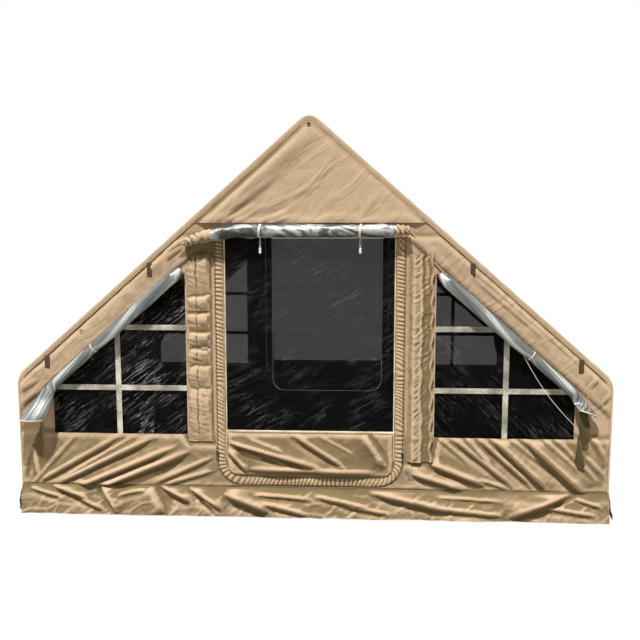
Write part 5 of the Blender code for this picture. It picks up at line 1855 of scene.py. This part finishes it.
@dataclass
class Window:
    """A net window with tapes across it and its cover rolled up along the slanted edge."""

    end: End
    side: str
    length: float = 1.02
    radius: float = 0.028
    core: float = 0.005
    wide: Point = (0.60, 0.20)
    tie_share: float = 0.588
    flare: float = 0.17

    @property
    def local(self) -> int:
        """The window's side in its gable's frame."""
        return SIDES[self.side] * self.end.turn

    @property
    def roof_inset(self) -> float:
        """How far inside the roof line the rolled cover lies."""
        return WINDOW.roof_inset - (0.020 if self.local < 0 else 0.004)

    def build_net(self) -> None:
        """The net, sewn in behind the wall and pulled slantwise."""
        ripple = Ripple(111 + self.local)
        name = f"{self.end.value}_window_mesh_{self.side}"
        outline = window_outline(self.local, 0.008)
        xs, zs = [p[0] for p in outline], [p[1] for p in outline]
        panel = Panel((min(xs), min(zs)), (max(xs), max(zs)), (0.014, 0.014))
        panel.trim(outline)

        def fold(u: Array, v: Array) -> Array:
            slant = self.local * u * 3.0 + v * 5.0
            return -0.002 - 0.006 * ripple.crests(slant, v * 2.0 - u * 1.5)

        panel.hang(gable_plane(0.0022), fold, thickness=MESH_SKIN).moved(self.end.matrix)
        finish = LEFT_NET if self.local < 0 else RIGHT_NET
        node, wall = [f"{self.end.value}_window_net_{self.side}"], [f"{self.end.value}_wall_sheet"]
        panel.show(name, "tent", [finish, finish], node, "net", rests_on=wall)

    def build_tapes(self) -> None:
        """One upright and two level reflective tapes, sewn over the net."""
        local, half, lap = self.local, WINDOW.tape / 2, 0.002
        tuck = WINDOW.roof_inset - 0.015
        ripple = Ripple(121 + local)
        inner, outer, post = WINDOW.inner - lap, WINDOW.outer + lap, WINDOW.tape_x
        low, high = WINDOW.tape_low, WINDOW.tape_high
        strips = {
            "upright": ((post - half, WINDOW.foot - lap), (post + half, high + half)),
            "low": ((inner, low - half), (outer, low + half)),
            "high": ((inner, high - half), (post + half, high + half)),
        }
        for strip, (foot, head) in strips.items():
            near, away = sorted((local * foot[0], local * head[0]))
            panel = Panel((near, foot[1]), (away, head[1]), (0.009, 0.009))
            normal = (local * math.sin(TENT.pitch), math.cos(TENT.pitch))
            panel.score((0.0, TENT.roof_height(0.0, tuck)), normal, clear=True)
            lift = 0.0002 if strip == "upright" else 0.0010

            def fold(u: Array, v: Array, lift: float = lift) -> Array:
                return lift + 0.0004 * ripple.rough(u * 30, v * 30)

            panel.hang(gable_plane(-0.0008), fold, thickness=TAPE_SKIN).moved(self.end.matrix)
            name = f"{self.end.value}_window_tape_{strip}_{self.side}"
            nodes = [f"{self.end.value}_window_tape_{self.side}"]
            net = [f"{self.end.value}_window_mesh_{self.side}"]
            panel.show(name, "tent", [TAPE, TAPE], nodes, "reflective_tape", rests_on=net)

    def place_on_slope(self, distance: Array, across: Array, out: Array) -> Array:
        """Takes places along, across and out of the cover's line to the gable's frame."""
        top_x = WINDOW.inner + 0.013
        top_z = TENT.roof_height(top_x, self.roof_inset)
        x = top_x + distance * math.cos(TENT.pitch) + across * math.sin(TENT.pitch)
        z = top_z - distance * math.sin(TENT.pitch) + across * math.cos(TENT.pitch)
        return columns(self.local * x, -0.0018 - out, z)

    def opened(self, u: Array) -> Array:
        """How far the cover has fallen open, from 0 to 1, along its length."""
        return eased((u - self.length + self.flare) / self.flare)

    def cover_base(self, u: Array, v: Array) -> tuple[Array, Array]:
        """Winds the cover on itself, and lets it fall open into a flare at its low end."""
        flare, opened = FLARES[self.local], self.opened(u)
        tied = u - self.length * self.tie_share
        thick = self.radius + 0.005 * eased((-0.03 - tied) / 0.10)
        reach = (0.017 + (thick - 0.017) * unit(u / 0.05)) - 0.006 * bell(tied, 0.03)
        wide = self.wide[0] + (self.wide[1] - self.wide[0]) * unit(u / self.length)
        outer = reach + (flare.outer - reach) * opened**1.4
        inner = self.core + (flare.inner - self.core) * opened**1.4
        turns = wide / (math.pi * (outer + inner))
        last = 0.5 * np.pi + np.pi * np.minimum(turns, 1.0)
        angle = last - 2 * np.pi * turns * (1.0 - v)
        radius = inner + (outer - inner) * v
        across, out = radius * np.cos(angle), radius * np.sin(angle)
        target = reach + (flare.mouth - reach) * opened
        across = across * target / (outer * np.sin(np.pi * np.minimum(turns, 0.5))) + target - reach
        high = (out - self.lowest(turns, last, inner, outer)) * (1.0 - 2.8 * opened * (1.0 - opened))
        level = u + opened * (flare.shear * across / math.tan(TENT.pitch) - flare.cut * high)
        spot = self.place_on_slope(level, across, high + 0.0004 + flare.lift * opened**1.6)
        spot[:, 0] += self.local * flare.aside * opened**1.6
        spot[:, 2] -= flare.fall * opened**1.6
        rise = math.sin(TENT.pitch), math.cos(TENT.pitch)
        return spot, columns(self.local * np.cos(angle) * rise[0], -np.sin(angle), np.cos(angle) * rise[1])

    def lowest(self, turns: Array, last: Array, inner: Array, outer: Array) -> Array:
        """The lowest that the wound cloth reaches in a section, so that it rests on the wall."""
        least = np.full_like(turns, 9.0)
        for share in np.linspace(0.0, 1.0, 61):
            angle = last - 2 * np.pi * turns * (1.0 - share)
            least = np.minimum(least, (inner + (outer - inner) * share) * np.sin(angle))
        return least

    def build_cover(self) -> None:
        """Rolls the cover and hems its open end."""
        name = f"{self.end.value}_window_cover_{self.side}"
        ripple = Ripple(131 + self.local)

        def fold(u: Array, v: Array) -> Array:
            return v * (0.0022 * ripple.crests(u * 5.0, v * 7.0) - 0.001)

        # Painted shade: the cover is darkened towards its open, flared end, much more on the right-hand
        # window of each gable.
        def painted_shade(u: Array, v: Array) -> Array:
            return (0.06 if self.local < 0 else 0.32) * self.opened(u)

        panel = Panel((0.0, 0.0), (self.length, 1.0), (0.010, 1.0 / 90))
        panel.hang(self.cover_base, fold, thickness=ROLLED_SKIN, painted_shade=painted_shade).moved(self.end.matrix)
        finishes = [SMOOTH_SILVER, CANVAS]
        piece = show(f"{name}_rolled", panel.shape, finishes, "tent", [name], 62.0)
        self.build_hem()
        self.build_tie()

    def build_hem(self) -> None:
        """The cream hem along the flare's open end."""
        steps = 25
        spots, _ = self.cover_base(np.full(steps, self.length - 0.0005), np.linspace(0.02, 0.98, steps))
        points = [tuple(self.end.matrix @ Vector(spot)) for spot in spots]
        name = f"{self.end.value}_window_cover_hem_{self.side}"
        rope(name, points, 0.006, WHITE_BINDING, "tent")

    def build_tie(self) -> None:
        """A white cord wound twice round the roll and knotted on top."""
        start = self.length * self.tie_share - 0.004
        radius = self.radius - 0.0045 + 0.0012
        share = np.arange(49) / 48
        angle = -0.5 * math.pi + 4 * math.pi * share
        across, out = radius * np.cos(angle), radius + radius * np.sin(angle)
        spots = self.place_on_slope(start + 0.008 * share, across, out)
        points = [tuple(self.end.matrix @ Vector(spot)) for spot in spots]
        rope(f"{self.end.value}_window_cover_tie_{self.side}", points, 0.0032, WHITE_TIE, "tent")

    def build(self) -> None:
        """Builds the window."""
        self.build_net()
        self.build_tapes()
        self.build_cover()


@dataclass
class Fittings:
    """Guy tabs, hook patches, eyelets, tabs and cords of the front, and the valve."""

    def tab(self, name: str, x: float, head: float) -> None:
        """A doubled webbing tab that hangs on the roof's hem, open at its foot as a loop."""
        drop = 0.07

        def base(u: Array, v: Array) -> tuple[Array, Array]:
            share = v / (2 * drop)
            angle = np.pi * share
            swell = 0.0032 * np.sin(np.pi * share) ** 2
            z = head - drop * (1.0 - np.abs(2 * share - 1.0))
            y = -0.0048 - 0.0007 - 0.0014 * (1.0 - share) - swell * np.cos(angle)
            place = columns(x + u, y, z)
            way = columns(0.0, -np.cos(angle), -np.sin(angle))
            return place, way

        panel = Panel((-0.0125, 0.0), (0.0125, 2 * drop), (0.0025, 0.0025))
        panel.hang(base, None, thickness=0.0006).moved(End.FRONT.matrix)
        roof = ["roof_sheet_left"]
        panel.show(f"{name}_webbing", "tent", [WEBBING, WEBBING], [name], "webbing", "hung", roof)

    def patch(self, name: str, body: str, low: Point, high: Point, depth: float, finish: Finish) -> None:
        """A small sewn patch in the front gable's plane."""
        panel = Panel(low, high, (0.003, 0.003))

        def fold(u: Array, v: Array) -> Array:
            rim = np.minimum(np.minimum(u - low[0], high[0] - u), np.minimum(v - low[1], high[1] - v))
            return 0.0012 * eased(rim / 0.003)

        panel.hang(gable_plane(depth), fold, thickness=0.001).moved(End.FRONT.matrix)
        panel.show(name, body, [finish, finish], slot="canvas", held=None)

    def eyelet(self, name: str, at: Point, depth: float, radius: float = 0.011) -> None:
        """A rolled metal ring set into the cloth."""
        shape = bmesh.new()
        middle = (radius * 0.75, 0.0, 0.0)
        bmesh.ops.create_circle(shape, cap_ends=False, segments=10, radius=radius * 0.28)
        bmesh.ops.translate(shape, vec=middle, verts=shape.verts)
        bmesh.ops.rotate(shape, cent=middle, matrix=Matrix.Rotation(math.pi / 2, 3, "X"), verts=shape.verts)
        turned(shape, shape.verts[:] + shape.edges[:], 24)
        turn = Matrix.Translation((at[0], depth, at[1])) @ Matrix.Rotation(math.pi / 2, 4, "X")
        bmesh.ops.transform(shape, matrix=End.FRONT.matrix @ turn, verts=shape.verts)
        show(name, shape, [EYELET_METAL], "tent")

    def strap(self, name: str, top: Point, foot: Point, widths: Sequence[float], depth: float) -> None:
        """A tapered tab, painted dark olive as painted shade, that hangs from the end of the rolled cover.
        """
        length = math.dist(top, foot)
        way = ((foot[0] - top[0]) / length, (foot[1] - top[1]) / length)

        def base(u: Array, v: Array) -> tuple[Array, Array]:
            share = unit(v / length)
            swell = np.interp(share, [0.0, 0.45, 0.85, 1.0], widths)
            across = u * swell
            twist = 0.5 * np.sin(1.6 * np.pi * share + 0.4)
            x = top[0] + way[0] * v - way[1] * across * np.cos(twist)
            z = top[1] + way[1] * v + way[0] * across + 0.7 * across * eased((share - 0.7) / 0.3)
            place = columns(x, depth - 0.006 * np.sin(np.pi * share) + across * np.sin(twist), z)
            return place, outwards(u)

        panel = Panel((-0.5, 0.0), (0.5, length), (0.1, 0.005))
        panel.hang(base, None, thickness=0.0012).moved(End.FRONT.matrix)
        piece = show(name, panel.shape, [SHADED_CANVAS, SHADED_CANVAS], "tent", (), 62.0)

    def cover_cord(self) -> None:
        """A thin white cord that hangs loose from the right cover's tie down to the hanging straps."""
        start, end, sag = (1.042, -1.078, 0.868), (1.338, -1.068, 0.474), (0.018, 0.004, 0.012)
        points = []
        for i in range(25):
            share = i / 24
            belly = math.sin(math.pi * share)
            points.append(tuple(a + (b - a) * share - c * belly for a, b, c in zip(start, end, sag)))
        cord = rope("cover_cord_right", points, 0.0028, WHITE_TIE, "tent")

    def piping(self) -> None:
        """The corded edge that runs from the rolled curtain's right end to the window cover."""
        xs = [0.486, 0.520, 0.565, 0.605, 0.650, 0.720]
        zs = [1.462, 1.425, 1.370, 1.310, 1.262, 1.205]
        route = list(zip(xs, zs))
        points = []
        for (x0, z0), (x1, z1) in zip(route, route[1:]):
            points += [(x0 + (x1 - x0) * i / 6, z0 + (z1 - z0) * i / 6) for i in range(6)]
        places = [(x, -TENT.half_length - 0.0035, z) for x, z in points]
        rope("curtain_piping_right", places, 0.006, PIPING, "tent")

    def valve(self) -> None:
        """Gives the valve's own solids their plastics."""
        plastics = {"valve_body": VALVE_PLASTIC, "valve_cap": VALVE_PLASTIC, "valve_push_pin": WHITE_PLASTIC}
        for node, finish in plastics.items():
            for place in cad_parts[node].material_slots:
                place.material = finish.make()

    def build(self) -> None:
        """Builds the fittings."""
        for side, sign in SIDES.items():
            for level, share in {"upper": 0.533, "lower": 0.893}.items():
                x = sign * TENT.half_width * share
                self.tab(f"front_guy_tab_{level}_{side}", x, TENT.roof_height(x, TENT.hem * 0.5))
        patches = [
            ("hook_patch_flap_left", "front_storm_flap_left", (-0.544, 0.842), (-0.510, 0.880), -0.0165),
            ("hook_patch_flap_right", "front_storm_flap_right", (0.513, 0.822), (0.536, 0.866), -0.0195),
            ("hook_patch_foot_left", "tent", (-0.516, 0.246), (-0.494, 0.282), -0.010),
            ("hook_patch_foot_right", "tent", (0.496, 0.206), (0.522, 0.240), -0.010),
        ]
        for patch in patches:
            self.patch(*patch, HOOK_TAPE)
        self.eyelet("eyelet_gable_left", (-1.155, 0.952), -0.006)
        self.eyelet("eyelet_apex", (-0.002, 1.970), -0.008, 0.009)
        self.strap("cover_strap_upper", (1.352, 0.590), (1.366, 0.402), (0.052, 0.056, 0.040, 0.022), -0.024)
        self.strap("cover_strap_lower", (1.335, 0.440), (1.346, 0.272), (0.008, 0.030, 0.052, 0.052), -0.016)
        for side, sign in SIDES.items():
            points = [(sign * 1.379, -TENT.half_length - 0.0012, 0.155 + 0.5 * i / 12) for i in range(13)]
            rope(f"panel_seam_{side}", points, 0.004, PIPING, "tent")
        self.cover_cord()
        self.piping()
        self.valve()


# Studio


@dataclass
class Studio:
    """A pale floor, soft lamps and the camera at the picture's viewing angle."""

    key: float = 5.1
    sky: float = 0.24

    def camera(self) -> None:
        """The camera, 3.7 m in front of the door at standing height."""
        lens = bpy.data.cameras.new("camera")
        lens.lens = 41.876
        lens.sensor_width = 36.0
        camera = add_object("camera", lens)
        camera.location = (0.2386, -4.7235, 1.4501)
        camera.rotation_euler = (math.radians(83.2796), 0.0, math.radians(2.909))
        bpy.context.scene.camera = camera

    def floor(self) -> None:
        """A wide round floor, just under the tent."""
        shape = bmesh.new()
        bmesh.ops.create_circle(shape, cap_ends=True, segments=64, radius=14.0)
        mesh = bpy.data.meshes.new("studio_floor")
        shape.to_mesh(mesh)
        shape.free()
        mesh.materials.append(StudioFloor().make())
        floor = add_object("studio_floor", mesh)
        floor.location = (0.0, 0.0, -0.001)

    def lamps(self) -> None:
        """A soft key from high on the left, and a broad even sky."""
        sun = bpy.data.lights.new("key", "SUN")
        sun.energy = self.key
        sun.angle = math.radians(4.0)
        sun.color = (1.0, 0.965, 0.91)
        lamp = add_object("key", sun)
        aim = Vector((0.13, 0.44, -0.88))
        lamp.rotation_euler = aim.to_track_quat("-Z", "Y").to_euler()
        world = bpy.data.worlds.new("studio")
        world.use_nodes = True
        tree = world.node_tree
        path = add_node(tree, "ShaderNodeLightPath")
        through = maths(tree, "MAXIMUM", seen_directly(tree, path), path.outputs["Is Transmission Ray"])
        tint = mixed(tree, through, linear("#FFF6DF"), (1.0, 1.0, 1.0, 1.0))
        strength = ranged(tree, through, self.sky, 1.0)
        plug(tree, tree.nodes["Background"], {"Color": tint, "Strength": strength})
        bpy.context.scene.world = world
        bpy.context.scene.view_settings.view_transform = "Standard"

    def build(self) -> None:
        """Sets the stage."""
        self.camera()
        self.floor()
        self.lamps()


def main() -> None:
    """Builds the tent's looks, piece by piece."""
    logging.basicConfig(level=logging.INFO, format="%(name)s %(message)s")
    Studio().build()
    Groundsheet().build()
    AirFrame().build()
    Roof().build()
    SideWall().build()
    for end in End:
        GableWall(end).build()
        GableFlap(end).build()
        Doorway(end).build()
        Curtain(end).build()
        for side in SIDES:
            Window(end, side).build()
    Skirts().build()
    Fittings().build()


if __name__ == "__main__":
    main()
